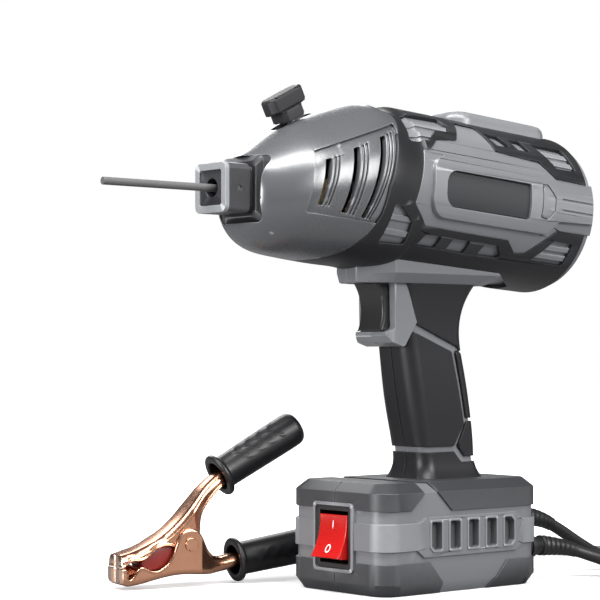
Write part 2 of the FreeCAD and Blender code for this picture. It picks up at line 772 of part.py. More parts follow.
bar_low = KNOB_SEAT + STEM_TALL
bar_high = bar_low + KNOB_TALL
bar_rows = [(bar_low, BAR_BEVEL), (bar_low + BAR_BEVEL, 0), (bar_high - BAR_BEVEL, 0), (bar_high, BAR_BEVEL)]
bar = Part.makeLoft([bar_wire(level, shrink) for level, shrink in bar_rows], True, True)
knob = stem.fuse(bar)
node("clamp_knob", knob, knob_frame)

rod = doc.addObject("Part::Cylinder", "welding_rod")
bind(rod, Radius="sizes.rod_diameter / 2", Height="sizes.rod_length")
ROD_TIP = -238.0
keep(rod, "welding_rod", Placement(Vector(ROD_TIP, 0, NOSE_Z), Rotation(Vector(0, 1, 0), 90)))

# ---------------------------------------------------------------- armour
hump_clear = hump_body(PANEL_GAP)
armour = skin_outer.cut(skin_inner).cut(ahead_of_seam(SEAM_GAP))
armour = armour.cut(rear_chamfer_tool(R, REAR_CHAMFER, LENGTH + 20))
armour = armour.cut(box(LENGTH - REAR_LIP, LENGTH + 5, -60, 60, -60, 60))
saddle_zone = prism_z(saddle_plan, 150, 215, 3)
for side in (-1, 1):
    half = side_half(armour, side)
    half = half.cut(panel_prism(PANEL, side, PANEL_CORNER)).cut(hump_clear)
    for points in WINDOWS:
        half = half.cut(radial_prism(points, side, 30.0, 64.0, WINDOW_CORNER))
    half.Placement = barrel_frame
    half = half.cut(saddle_zone)
    node("armour_left" if side < 0 else "armour_right", half)

# Grey side panels with their raised frames, and the plates set in them.
FRAME_OUTER = [
    (1.9, 19.4),
    (1.9, -19.1),
    (103.4, -19.4),
    (113.0, -10.2),
    (LENGTH + 3, -8.2),
    (LENGTH + 3, 9.0),
    (112.0, 9.2),
    (101.0, 19.2),
]
FRAME_CORNERS = [13.0, 13.0, 3.0, 3.0, 1.0, 1.0, 3.0, 3.0]
PLATE = [(86.0, 10.6), (12.0, 10.6), (12.0, -12.0), (86.0, -12.0)]
PLATE_CORNERS = [1.4, 9.0, 9.0, 1.4]
PLATE_BED, PLATE_GAP = 0.6, 0.3
HEX_PAD = [(96.2, 12.2), (101.6, 12.1), (108.5, 4.6), (108.0, -4.5), (101.6, -10.5), (95.4, -9.5)]
HEX_GROOVE = 1.0
REAR_GROOVES = [(114.0, LENGTH + 2, 3.6, 4.8), (114.0, LENGTH + 2, -3.2, -2.0)]
PANEL_R = SHELL_R + size("panel_rise")
PLATE_R = SHELL_R + size("plate_rise")
FRAME_R = SHELL_R + size("frame_rise")
for side in (-1, 1):
    name = "left" if side < 0 else "right"
    panel = curved_pad(PANEL, side, SHELL_R, PANEL_R, PANEL_CORNER)
    panel = panel.fuse(curved_pad(FRAME_OUTER, side, SHELL_R, FRAME_R, FRAME_CORNERS))
    panel = panel.cut(curved_pad(PLATE, side, SHELL_R + PLATE_BED, FRAME_R + 2, PLATE_CORNERS))
    hexagon = curved_pad(HEX_PAD, side, FRAME_R - HEX_GROOVE, FRAME_R + 2, 0.8)
    hexagon = hexagon.cut(curved_pad(offset(HEX_PAD, -HEX_GROOVE), side, SHELL_R, FRAME_R + 3, 0.6))
    panel = panel.cut(hexagon)
    for start, end, low, high in REAR_GROOVES:
        line = [(start, low), (end, low), (end, high), (start, high)]
        panel = panel.cut(curved_pad(line, side, FRAME_R - HEX_GROOVE, FRAME_R + 2))
    panel = panel.cut(rear_chamfer_tool(FRAME_R, 3.0, LENGTH + 20))
    node("side_panel_" + name, panel, barrel_frame)
    plate = curved_pad(offset(PLATE, -PLATE_GAP), side, SHELL_R + PLATE_BED, PLATE_R, PLATE_CORNERS)
    node("name_plate_" + name, plate, barrel_frame)

# ---------------------------------------------------------------- read-out hump
hump = hump_body(0.0).cut(cylinder(SHELL_R, (HUMP_FRONT - 1, 0, 0), (HUMP_REAR + 1, 0, 0)))
WINDOW_FRONT = 72.0
WINDOW_REAR = WINDOW_FRONT + size("window_length")
WINDOW_HALF = size("window_width") / 2
WINDOW_FLOOR = HUMP_TOP - size("window_depth")
BUTTON_R, BUTTON_GAP = size("button_radius"), 0.3
BUTTON_Y = [-6.0, 6.0]
BUTTON_AT = 113.0
BUTTON_SEAT = SHELL_R + 2.0
hump = hump.cut(box(WINDOW_FRONT, WINDOW_REAR, -WINDOW_HALF, WINDOW_HALF, WINDOW_FLOOR, HUMP_TOP + 2))
for y in BUTTON_Y:
    button_hole = cylinder(BUTTON_R + BUTTON_GAP, (BUTTON_AT, y, BUTTON_SEAT), (BUTTON_AT, y, HUMP_TOP + 2))
    hump = hump.cut(button_hole)
node("control_cover", hump, barrel_frame)


def in_barrel(x, y, z):
    """A place in the barrel's frame."""
    return barrel_frame.multiply(Placement(Vector(x, y, z), Rotation()))


window = doc.addObject("Part::Box", "display_window")
bind(
    window,
    Length="sizes.window_length - 2 * sizes.window_gap",
    Width="sizes.window_width - 2 * sizes.window_gap",
    Height="sizes.window_depth - sizes.window_gap / 2",
)
WINDOW_GAP = size("window_gap")
keep(window, "display_window", in_barrel(WINDOW_FRONT + WINDOW_GAP, WINDOW_GAP - WINDOW_HALF, WINDOW_FLOOR))
for label, y in zip(("button_minus", "button_plus"), BUTTON_Y):
    button = doc.addObject("Part::Cylinder", label)
    bind(button, Radius="sizes.button_radius", Height="sizes.button_height")
    keep(button, label, in_barrel(BUTTON_AT, y, BUTTON_SEAT + 0.9))

# ---------------------------------------------------------------- inside the barrel
FAN_R = size("fan_radius")
GRILLE_S = LENGTH - 5.0
grille = cylinder(INNER_R - 0.1, (GRILLE_S, 0, 0), (GRILLE_S + 3, 0, 0))
cross = box(GRILLE_S - 1, GRILLE_S + 4, -60, 60, -2, 2)
cross = cross.fuse(box(GRILLE_S - 1, GRILLE_S + 4, -2, 2, -60, 60))
for ring in range(3):
    outer = 14.0 + 10.0 * ring
    band_ring = tube(outer + 4.5, outer, (GRILLE_S - 1, 0, 0), (GRILLE_S + 4, 0, 0))
    grille = grille.cut(band_ring.cut(cross))
node("rear_grille", grille, barrel_frame)

FAN_FRONT, FAN_BACK, FAN_GAP, BLADES = 116.0, 136.0, 0.8, 7
fan_frame = tube(INNER_R - 0.2, FAN_R + FAN_GAP, (FAN_FRONT, 0, 0), (FAN_BACK, 0, 0))
STRUT = FAN_R + 2
fan_frame = fan_frame.fuse(box(FAN_BACK - 2, FAN_BACK, -STRUT, STRUT, -2, 2))
fan_frame = fan_frame.fuse(box(FAN_BACK - 2, FAN_BACK, -2, 2, -STRUT, STRUT))
fan_frame = fan_frame.fuse(cylinder(1.5, (FAN_FRONT + 4, 0, 0), (FAN_BACK, 0, 0)))
node("fan_frame", fan_frame, barrel_frame)
hub = cylinder(11.0, (FAN_FRONT + 2, 0, 0), (FAN_BACK - 3, 0, 0))
rotor = hub
vane_plan = [(-1.1, 9), (1.1, 9), (1.1, FAN_R - 0.5), (-1.1, FAN_R - 0.5)]
for blade in range(BLADES):
    vane = prism_x(vane_plan, FAN_FRONT + 5, FAN_BACK - 5)
    vane.rotate(Vector(FAN_FRONT + 10, 0, 20), Vector(0, 0, 1), 35)
    vane.rotate(Vector(0, 0, 0), Vector(1, 0, 0), 360.0 * blade / BLADES)
    rotor = rotor.fuse(vane)
rotor = rotor.common(cylinder(FAN_R, (FAN_FRONT + 1, 0, 0), (FAN_BACK - 3, 0, 0)))
rotor = rotor.cut(cylinder(1.55, (FAN_FRONT, 0, 0), (FAN_BACK, 0, 0)))
node("fan_rotor", rotor, barrel_frame)

BOARD_U = -14.0
BOARD_TOP = BOARD_U + size("board_thick")
board = doc.addObject("Part::Box", "circuit_board")
bind(board, Length="sizes.board_length", Width="sizes.board_width", Height="sizes.board_thick")
keep(board, "circuit_board", in_barrel(-14, -size("board_width") / 2, BOARD_U))

sink_body = doc.addObject("PartDesign::Body", "heat_sink")
profile = sink_body.newObject("Sketcher::SketchObject", "sink_profile")
planes = [f for f in sink_body.Origin.OriginFeatures if f.Role == "YZ_Plane"]
profile.AttachmentSupport = [(planes[0], "")]
profile.MapMode = "FlatFace"
FINS, FIN_PITCH, FIN_THICK, FIN_TALL, SINK_BASE = 7, 5.0, 1.4, 14.0, 3.0
corners = [(0.0, 0.0)]
width = (FINS - 1) * FIN_PITCH + FIN_THICK
corners.append((width, 0.0))
for fin in reversed(range(FINS)):
    corners.append((fin * FIN_PITCH + FIN_THICK, SINK_BASE + FIN_TALL))
    corners.append((fin * FIN_PITCH, SINK_BASE + FIN_TALL))
    if fin:
        corners.append((fin * FIN_PITCH, SINK_BASE))
        corners.append(((fin - 1) * FIN_PITCH + FIN_THICK, SINK_BASE))
for i in range(len(corners)):
    a = Vector(*corners[i], 0)
    b = Vector(*corners[(i + 1) % len(corners)], 0)
    profile.addGeometry(Part.LineSegment(a, b), False)
pad = sink_body.newObject("PartDesign::Pad", "sink_pad")
pad.Profile = profile
bind(pad, Length="sizes.sink_length")
doc.recompute()
keep(sink_body, "heat_sink", in_barrel(-8, 16 - width / 2, BOARD_TOP))

core = box(56, 88, -34, -4, BOARD_TOP, BOARD_U + 26)
winding_gap = box(62, 82, -28, -10, BOARD_TOP - 0.1, BOARD_U + 27)
winding = box(64, 80, -26, -12, BOARD_TOP, BOARD_U + 24)
node("transformer", core.cut(winding_gap).fuse(winding), barrel_frame)
CAN_R, CAN_TALL = 8.5, 28.4
cans = [cylinder(CAN_R, (s, 14, BOARD_TOP), (s, 14, BOARD_TOP + CAN_TALL)) for s in (58, 78, 98)]
node("capacitors", Part.makeCompound(cans), barrel_frame)

# ---------------------------------------------------------------- trigger
T_MID = (TRIGGER_LOW + TRIGGER_HIGH) / 2
trigger_profile = [
    Vector(-43.0, 0, TRIGGER_HIGH),
    Vector(-37.4, 0, T_MID + 1),
    Vector(-40.0, 0, TRIGGER_LOW),
]
front_arc = Part.Arc(*trigger_profile).toShape()
t_back = -24.0
back_corners = [Vector(t_back, 0, TRIGGER_LOW), Vector(t_back, 0, TRIGGER_HIGH)]
rest_edges = Part.makePolygon([trigger_profile[2]] + back_corners + [trigger_profile[0]])
trigger_face = Part.Face(Part.Wire([front_arc] + rest_edges.Edges))
trigger_solid = trigger_face.extrude(Vector(0, size("trigger_width"), 0))
trigger_solid.translate(Vector(0, -TRIGGER_HALF, 0))
front_edges = [e for e in trigger_solid.Edges if e.BoundBox.XMax < -37 and e.BoundBox.YLength < 0.01]
trigger_solid = trigger_solid.makeFillet(1.8, front_edges)
SPRING_R, SPRING_BORE = 3.0, 2.0
node("trigger", trigger_solid)
node("trigger_spring", tube(SPRING_R, SPRING_BORE, (t_back, 0, T_MID), (-13.0, 0, T_MID)))
node("trigger_switch", box(-13, 6, -7, 7, T_MID - 12, T_MID + 12))

# ---------------------------------------------------------------- grips
sleeve_all = handle_outer.cut(handle_core)
PALM = [
    (-29.5, SADDLE_FLOOR),
    (-29.5, 183.3),
    (-23.2, 177.3),
    (-19.8, 165.5),
    (18.1, 150.6),
    (60, 133.6),
    (60, SADDLE_FLOOR),
]
MAIN = [(-22.0, 160.6), (-31.0, 151.6), (-60, 151.6), (-60, 87.0), (17.2, 87.0), (25.7, 100.7), (15.6, 146.4)]
REAR_TOP = [(18.6, 148.0), (60, 131.2), (60, 104.5), (27.6, 104.5)]
REAR_LOW = [(28.0, 102.4), (60, 102.4), (60, 80.4), (27.0, 80.4), (20.6, 87.4)]
FOOT = [(-60, 83.6), (17.4, 83.6), (23.4, 77.0), (60, 77.0), (60, 40), (-60, 40)]
SEAM_HALF = 0.25
GRIP_CORNER, FOOT_CORNER = 1.6, 0.8


def grip(points, corner=GRIP_CORNER):
    """The part of the handle's rubber skin inside an outline."""
    return sleeve_all.common(prism_y(points, -60, 60, corner)).cut(guard_block)


node("palm_grip", grip(PALM).cut(under_barrel))
main_grip = grip(MAIN)
node("main_grip_left", side_half(main_grip, -1, SEAM_HALF))
node("main_grip_right", side_half(main_grip, 1, SEAM_HALF).cut(screw_cuts))
node("rear_grip", Part.makeCompound([grip(REAR_TOP), grip(REAR_LOW)]))
above_base = box(-90, 90, -60, 60, BASE_Z, 120)
front_seam = box(-60, 12, -SEAM_HALF, SEAM_HALF, 60, 90)
node("foot_grip", grip(FOOT, FOOT_CORNER).common(above_base).cut(front_seam))

# ---------------------------------------------------------------- bumpers
bumper_skin_solid = base_outer.cut(base_core).cut(handle_outer.cut(box(-90, 90, -60, 60, BASE_Z, 250)))
seam_slit = box(-90, -40, -SEAM_HALF, SEAM_HALF, -10, 90)
bumper_outlines = [
    ("upper_bumper_front", UPPER_FRONT),
    ("upper_bumper_rear", UPPER_REAR),
    ("lower_bumper_front", LOWER_FRONT),
    ("lower_bumper_rear", LOWER_REAR),
]
for label, points in bumper_outlines:
    piece = bumper_skin_solid.common(prism_y(points, -80, 80)).cut(casing)
    piece = piece.cut(switch_frame_zone).cut(seam_slit).cut(mains_hole).cut(ground_hole)
    node(label, piece)

# Plain liners behind the base's vents.
LINER_LONG, LINER_TALL, LINER_X, LINER_Z = 77.0, 22.0, -33.0, 24.0
liner_y = BASE_Y - SKIN - WALL
for side in (-1, 1):
    label = "vent_liner_left" if side < 0 else "vent_liner_right"
    liner = doc.addObject("Part::Box", label)
    liner.Length = LINER_LONG
    liner.Height = LINER_TALL
    bind(liner, Width="sizes.liner_thick")
    near_face = -liner_y if side < 0 else liner_y - size("liner_thick")
    keep(liner, label, Placement(Vector(LINER_X, near_face, LINER_Z), Rotation()))

# ---------------------------------------------------------------- switch
FRAME_FACE = -BASE_X - 0.3
OPENING_Y, OPENING_Z = size("rocker_width") / 2 + 0.5, 15.9
SWITCH_GAP, SWITCH_WALL = 0.1, 1.5
FRAME_BACK, CAN_BACK = -BASE_X + 4.5, -BASE_X + 26
opening = rectangle(OPENING_Y, OPENING_Z, 0, SWITCH_Z)
frame_solid = prism_x(offset(opening_outline, -SWITCH_GAP), FRAME_FACE, FRAME_BACK, 1.9)
# The rocker turns on two short pins in the frame's sides.
ROCKER_PIN_R, ROCKER_PIN_END, ROCKER_PIN_GAP = 1.5, OPENING_Y + 1.4, 0.05
ROCKER_AXIS_X = -BASE_X + 3.0


def rocker_pin(radius, end):
    return cylinder(radius, (ROCKER_AXIS_X, -end, SWITCH_Z), (ROCKER_AXIS_X, end, SWITCH_Z))


pin_bearing = rocker_pin(ROCKER_PIN_R + ROCKER_PIN_GAP, ROCKER_PIN_END + ROCKER_PIN_GAP)
node("switch_frame", frame_solid.cut(prism_x(opening, -90, -40)).cut(pin_bearing))
can = prism_x(offset(opening, SWITCH_WALL), FRAME_BACK, CAN_BACK)
node("switch_body", can.cut(prism_x(opening, -BASE_X, CAN_BACK - 4)))
ROCKER_HALF_Z = size("rocker_height") / 2
rocker_face = Part.Arc(
    Vector(-BASE_X - 0.8, 0, SWITCH_Z + ROCKER_HALF_Z),
    Vector(-BASE_X - 2.2, 0, SWITCH_Z),
    Vector(-BASE_X - 8.4, 0, SWITCH_Z - ROCKER_HALF_Z + 1.5),
).toShape()
rocker_back = Part.makePolygon(
    [
        Vector(-BASE_X - 8.4, 0, SWITCH_Z - ROCKER_HALF_Z + 1.5),
        Vector(-BASE_X - 5.6, 0, SWITCH_Z - ROCKER_HALF_Z + 0.6),
        Vector(-BASE_X + 3.0, 0, SWITCH_Z - ROCKER_HALF_Z),
        Vector(-BASE_X + 12.0, 0, SWITCH_Z - 6),
        Vector(-BASE_X + 12.0, 0, SWITCH_Z + 6),
        Vector(-BASE_X + 3.0, 0, SWITCH_Z + ROCKER_HALF_Z),
        Vector(-BASE_X - 0.8, 0, SWITCH_Z + ROCKER_HALF_Z),
    ]
)
rocker_side = Part.Face(Part.Wire([rocker_face] + rocker_back.Edges))
rocker_solid = rocker_side.extrude(Vector(0, size("rocker_width"), 0))
rocker_solid.translate(Vector(0, -size("rocker_width") / 2, 0))
node("rocker", rocker_solid.fuse(rocker_pin(ROCKER_PIN_R, ROCKER_PIN_END)))

# ---------------------------------------------------------------- glands
REAR_FACE = BASE_X - SKIN
GLAND_OUT = 12.0
CORD_R = size("cord_diameter") / 2
CABLE_R = size("cable_diameter") / 2
REAR_BAND = BASE_X - SKIN + size("band_rise")


def gland(label, y, z, lead_radius):
    neck = cylinder(GLAND_BODY - 1.6, (REAR_FACE - 6, y, z), (REAR_FACE + 6, y, z))
    flange_disc = cylinder(GLAND_BODY, (REAR_BAND + 0.05, y, z), (REAR_BAND + 4, y, z))
    boot_start = Vector(REAR_BAND + 4, y, z)
    boot = Part.makeCone(GLAND_BODY - 1.0, lead_radius + 1.2, GLAND_OUT - 4, boot_start, Vector(1, 0, 0))
    body = neck.fuse(flange_disc).fuse(boot)
    return node(label, body)


gland("mains_gland", MAINS_Y, MAINS_Z, CORD_R)
gland("ground_gland", GROUND_Y, GROUND_Z, CABLE_R)
GLAND_END = REAR_BAND + GLAND_OUT


# ---------------------------------------------------------------- leads
def lead(label, points, radius):
    """A lead: straight runs joined by tangent arcs, swept with a circle."""
    corners = [Vector(*p) for p in points]
    edges = []
    start = corners[0]
    radii = []
    for before, here, after in zip(corners, corners[1:], corners[2:]):
        into = here - before
        out = after - here
        turn = into.getAngle(out)
        shorter = min(into.Length, out.Length)
        bend = 0.45 * shorter / math.tan(turn / 2)
        reach = 0.45 * shorter
        into.normalize()
        out.normalize()
        first = here - into * reach
        last = here + out * reach
        inward = (out - into).normalize()
        middle = here + inward * (bend / math.cos(turn / 2) - bend)
        edges.append(Part.LineSegment(start, first).toShape())
        edges.append(Part.Arc(first, middle, last).toShape())
        start = last
        radii.append(round(bend, 1))
    edges.append(Part.LineSegment(start, corners[-1]).toShape())
    path = Part.Wire(edges)
    ring = Part.Wire(Part.makeCircle(radius, corners[0], corners[1] - corners[0]))
    solid = path.makePipeShell([ring], True, True)
    expected = math.pi * radius**2 * path.Length
    print(label, "bend radii", radii)
    print(label, "length", round(path.Length, 1))
    print(label, "volume over section times length", round(solid.Volume / expected, 4))
    node(label, solid)


def coil(label, centre, outer, inner, height):
    ring = tube(outer, inner, centre, (centre[0], centre[1], centre[2] + height))
    ring = ring.makeFillet(2.0, ring.Edges)
    node(label, ring)


COIL_OUTER, COIL_INNER = 46.0, 30.0
COIL_TURN = COIL_OUTER - CORD_R
REST = CORD_R + 0.3
MAINS_COIL = (178.5, -92.0, 0.3)
GROUND_COIL = (112.0, 106.0, 0.3)
mains_route = [
    (GLAND_END, MAINS_Y, MAINS_Z),
    (99.0, -31.5, 20.8),
    (117.0, -39.5, 14.5),
    (130.0, -54.0, 8.0),
    (136.0, -73.5, REST + 0.1),
    (MAINS_COIL[0] - COIL_TURN, MAINS_COIL[1], REST),
]
lead("mains_cord", mains_route, CORD_R)
MAINS_LAYERS, GROUND_LAYERS = 3, 2
coil("mains_coil", MAINS_COIL, COIL_OUTER, COIL_INNER, MAINS_LAYERS * size("cord_diameter"))

SLEEVE_TILT = 8.0
SLEEVE_START = (72.0, 14.3)
SLEEVE = size("sleeve_length")
sleeve_dir = Vector(math.cos(math.radians(SLEEVE_TILT)), 0, math.sin(math.radians(SLEEVE_TILT)))
lower_end = Vector(SLEEVE_START[0], 0, SLEEVE_START[1]) + sleeve_dir * SLEEVE
handle_end = clamp_frame.multVec(lower_end)
after_handle = clamp_frame.multVec(lower_end + sleeve_dir * 20)
half_turn = COIL_TURN * math.sqrt(0.5)
ground_route = [
    (GLAND_END, GROUND_Y, GROUND_Z),
    (98.0, -12.5, 38.3),
    (116.0, -14.5, 29.5),
    (134.0, -17.0, 18.5),
    (154.0, -18.5, 9.0),
    (176.0, -16.0, REST + 0.2),
    (198.5, -3.0, REST),
    (213.0, 18.6, REST),
    (216.7, 44.3, REST),
    (208.2, 68.9, REST),
    (187.4, 90.5, REST),
    (GROUND_COIL[0] + half_turn + 23.3, GROUND_COIL[1] + half_turn - 22.7, REST),
    (GROUND_COIL[0] + half_turn, GROUND_COIL[1] + half_turn, REST),
]
lead("ground_cable", ground_route, CABLE_R)
coil("ground_coil", GROUND_COIL, COIL_OUTER, COIL_INNER, GROUND_LAYERS * size("cable_diameter"))
clamp_route = [
    (handle_end.x, handle_end.y, handle_end.z),
    (after_handle.x, after_handle.y, handle_end.z - 1.5),
    (21.5, 68.2, 15.5),
    (40.0, 76.0, 8.8),
    (55.5, 89.5, REST + 0.5),
    (GROUND_COIL[0] - COIL_TURN * 0.881 - 8.5, GROUND_COIL[1] + COIL_TURN * 0.467 - 18.1, REST),
    (GROUND_COIL[0] - COIL_TURN * 0.881, GROUND_COIL[1] + COIL_TURN * 0.467, REST),
]
lead("clamp_cable", clamp_route, CABLE_R)

# Mains plug lying on top of its coil.
PLUG_LONG, PLUG_WIDE, PLUG_TALL = 34.0, 26.0, 18.0
plug_z = MAINS_COIL[2] + MAINS_LAYERS * size("cord_diameter") + 0.2
plug_body = Part.makeLoft(
    [
        level_wire(0, 0, PLUG_TALL / 2, PLUG_WIDE / 2, 4.0),
        level_wire(PLUG_LONG * 0.55, 0, PLUG_TALL / 2, PLUG_WIDE / 2, 4.0),
        level_wire(PLUG_LONG, 0, CORD_R + 2.0, CORD_R + 2.0, 4.0),
    ],
    True,
    True,
)
for y in (-6.35, 6.35):
    plug_body = plug_body.fuse(box(-3.2, 3.2, y - 0.75, y + 0.75, -16, 0.5))
plug_body = plug_body.fuse(cylinder(2.4, (5.5, 0, -18), (5.5, 0, 0.5)))
plug_place = Placement(
    Vector(MAINS_COIL[0] + 38, MAINS_COIL[1] + 26, plug_z + PLUG_TALL / 2),
    Rotation(Vector(0, 0, 1), 90).multiply(Rotation(Vector(0, 1, 0), -90)),
)
node("mains_plug", plug_body, plug_place)

# ---------------------------------------------------------------- ground clamp
PIVOT = (37.1, 26.6)
UPPER_TILT = 28.7
UPPER_SLEEVE = (61.2, 67.5)
WIDE = size("lever_width")
SHEET = size("lever_sheet")
EAR_GAP = 0.3


def along(start, tilt, distance, across):
    """A point at a distance along a tilted arm and across it."""
    c = math.cos(math.radians(tilt))
    w = math.sin(math.radians(tilt))
    return (start[0] + distance * c - across * w, start[1] + distance * w + across * c)


ARM_HALF, ARM_REACH, ARM_SIDE = 5.0, 50.0, 7.4
upper_top = [(-8.5, 21.5), (3.0, 24.5), (15.0, 29.6), (25.0, 36.0), (35.0, 45.0), (46.0, 58.0)]
upper_arm = [
    along(UPPER_SLEEVE, UPPER_TILT, -6, ARM_HALF),
    along(UPPER_SLEEVE, UPPER_TILT, ARM_REACH, ARM_HALF),
    along(UPPER_SLEEVE, UPPER_TILT, ARM_REACH, -ARM_HALF),
    along(UPPER_SLEEVE, UPPER_TILT, -3, -ARM_HALF),
]
upper_low = [(50.0, 52.0), (44.6, 43.5), (43.2, 36.0), (43.4, 27.0)]
upper_low += [(41.0, 21.5), (36.0, 19.6), (31.0, 21.0), (27.5, 25.0)]
upper_oval = [(21.0, 26.6), (15.0, 25.3), (10.0, 21.5), (7.0, 17.2), (3.0, 17.6)]
upper_oval += [(-2.0, 17.8), (-6.0, 16.4), (-6.6, 13.7), (-8.5, 13.7)]
UPPER_LEVER = upper_top + upper_arm + upper_low + upper_oval
lower_bottom = [(-8.5, 4.2), (-5.4, 2.2), (6.0, 3.8), (18.2, 6.6)]
lower_bottom += [(28.0, 8.0), (38.0, 8.0), (50.0, 6.8), (61.0, 6.6)]
lower_arm = [
    along(SLEEVE_START, SLEEVE_TILT, -4, -ARM_HALF),
    along(SLEEVE_START, SLEEVE_TILT, ARM_REACH, -ARM_HALF),
    along(SLEEVE_START, SLEEVE_TILT, ARM_REACH, ARM_HALF),
    along(SLEEVE_START, SLEEVE_TILT, -8, ARM_HALF),
]
lower_ear = [(54.0, 18.2), (49.5, 22.0), (46.0, 29.5), (42.5, 34.6)]
lower_ear += [(37.0, 36.6), (31.5, 35.0), (28.2, 30.0), (26.0, 23.0)]
lower_oval = [(22.5, 16.5), (17.0, 12.4), (11.5, 11.2), (6.5, 13.4), (3.0, 14.6)]
lower_oval += [(-1.5, 8.6), (-4.6, 6.8), (-6.2, 8.0), (-6.6, 13.3), (-8.5, 13.3)]
LOWER_LEVER = lower_bottom + lower_arm + lower_ear + lower_oval


def shrink_channel(points, sheet, upper):
    """What is taken out of a lever so that a bent sheet is left."""
    shift = -sheet if upper else sheet
    return [(a, b + shift) for a, b in points]


def lever(points, half, inner_half, upper, sleeve_at, tilt):
    """A channel of bent sheet: two cheeks, a back, and a slim arm."""
    cheeks = prism_y(points, -half, half, 1.0)
    body_zone = box(-40, sleeve_at[0] - 9, -40, 40, -20, 160)
    arm_zone = box(sleeve_at[0] - 9, 200, -ARM_SIDE, ARM_SIDE, -20, 160)
    shoulder = prism_z(
        [
            (sleeve_at[0] - 24, -half),
            (sleeve_at[0] - 9, -half),
            (sleeve_at[0] - 3, -ARM_SIDE),
            (sleeve_at[0] - 3, ARM_SIDE),
            (sleeve_at[0] - 9, half),
            (sleeve_at[0] - 24, half),
        ],
        -20,
        160,
    )
    cheeks = cheeks.common(body_zone.fuse(arm_zone).fuse(shoulder))
    hollow_points = shrink_channel(points, SHEET, upper)
    gap = prism_y(hollow_points, -inner_half, inner_half)
    other = prism_y(shrink_channel(points, 3 * SHEET, upper), -inner_half, inner_half)
    more = prism_y(shrink_channel(points, 7 * SHEET, upper), -inner_half, inner_half)
    keep_arm = box(sleeve_at[0] - 12, 200, -40, 40, -20, 160)
    tip = box(-40, -8.5 + SHEET, -40, 40, -20, 160)
    return cheeks.cut(fuse([gap, other, more]).cut(keep_arm).cut(tip))


UPPER_HALF = WIDE / 2
LOWER_HALF = UPPER_HALF + EAR_GAP + SHEET
upper_lever = lever(UPPER_LEVER, UPPER_HALF, UPPER_HALF - SHEET, True, UPPER_SLEEVE, UPPER_TILT)
lower_lever = lever(LOWER_LEVER, LOWER_HALF, LOWER_HALF - SHEET, False, SLEEVE_START, SLEEVE_TILT)
PIN_R = size("pivot_radius")
pin_hole = cylinder(PIN_R + size("pivot_clearance"), (PIVOT[0], -30, PIVOT[1]), (PIVOT[0], 30, PIVOT[1]))
pin_seat = cylinder(PIN_R, (PIVOT[0], -30, PIVOT[1]), (PIVOT[0], 30, PIVOT[1]))
node("clamp_upper_lever", upper_lever.cut(pin_hole), clamp_frame)
node("clamp_lower_lever", lower_lever.cut(pin_seat), clamp_frame)
rivet = cylinder(PIN_R, (PIVOT[0], -LOWER_HALF - 0.8, PIVOT[1]), (PIVOT[0], LOWER_HALF + 0.8, PIVOT[1]))
for side in (-1, 1):
    foot_y = side * LOWER_HALF
    rivet = rivet.fuse(cylinder(4.2, (PIVOT[0], foot_y, PIVOT[1]), (PIVOT[0], foot_y + side * 1.2, PIVOT[1])))
node("clamp_pivot", rivet, clamp_frame)
SPRING_HALF = 7.5
spring = tube(5.2, PIN_R + 0.1, (PIVOT[0], -SPRING_HALF, PIVOT[1]), (PIVOT[0], SPRING_HALF, PIVOT[1]))
node("clamp_spring", spring, clamp_frame)


def sleeve(label, start, tilt):
    """A rubber handle sleeve, closed at its far end, with a collar."""
    a = Vector(start[0], 0, start[1])
    direction = Vector(math.cos(math.radians(tilt)), 0, math.sin(math.radians(tilt)))
    radius = size("sleeve_radius")
    body = Part.makeCylinder(radius, SLEEVE, a, direction)
    body = body.fuse(Part.makeCylinder(size("collar_radius"), 3.0, a, direction))
    bore = Part.makeCylinder(radius - 1.6, ARM_REACH, a, direction)
    node(label, body.cut(bore), clamp_frame)


sleeve("clamp_sleeve_upper", UPPER_SLEEVE, UPPER_TILT)
sleeve("clamp_sleeve_lower", SLEEVE_START, SLEEVE_TILT)

# ---------------------------------------------------------------- checks and files
doc.recompute()
for made in doc.Objects:
    bad = [state for state in made.State if state in ("Invalid", "Error")]
    if bad:
        raise RuntimeError("%s is %s" % (made.Name, bad))
for made in nodes:
    if made.Shape.isNull() or not made.Shape.isValid():
        raise RuntimeError("%s has no valid shape" % made.Label)
    if not made.Shape.Solids:
        raise RuntimeError("%s holds no solid" % made.Label)

os.makedirs("parts", exist_ok=True)
for made in nodes:
    made.Shape.exportStep(os.path.join("parts", made.Label + ".step"))
print(len(nodes), "sub-parts written")
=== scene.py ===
# %% [markdown]
# # A hand-held stick welding gun
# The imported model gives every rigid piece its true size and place. This lesson
# adds the studio, the finishes, the soft pieces and the two leads. Everything
# is in metres. The nose points to -X, and the near side is -Y.

# %% Load the fixed frame
import math

import bpy
import numpy as np
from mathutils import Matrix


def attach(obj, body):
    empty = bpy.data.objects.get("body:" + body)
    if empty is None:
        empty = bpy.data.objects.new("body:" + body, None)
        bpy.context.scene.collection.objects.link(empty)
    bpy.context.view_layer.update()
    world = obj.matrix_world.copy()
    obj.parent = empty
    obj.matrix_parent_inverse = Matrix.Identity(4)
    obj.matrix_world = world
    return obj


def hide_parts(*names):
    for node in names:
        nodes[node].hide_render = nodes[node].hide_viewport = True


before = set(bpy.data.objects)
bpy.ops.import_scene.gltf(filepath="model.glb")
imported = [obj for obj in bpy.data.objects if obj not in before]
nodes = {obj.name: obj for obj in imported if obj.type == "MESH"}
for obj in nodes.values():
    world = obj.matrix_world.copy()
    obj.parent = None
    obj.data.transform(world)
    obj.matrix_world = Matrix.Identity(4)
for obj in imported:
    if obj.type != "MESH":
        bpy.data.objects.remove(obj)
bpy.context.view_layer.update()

# %% [markdown]
# ## Camera
# The camera stands in front of the nose, to the near side, a little over a
# metre away and just above the base, tipped up by less than two degrees. A
# long lens keeps the barrel's sides almost parallel.

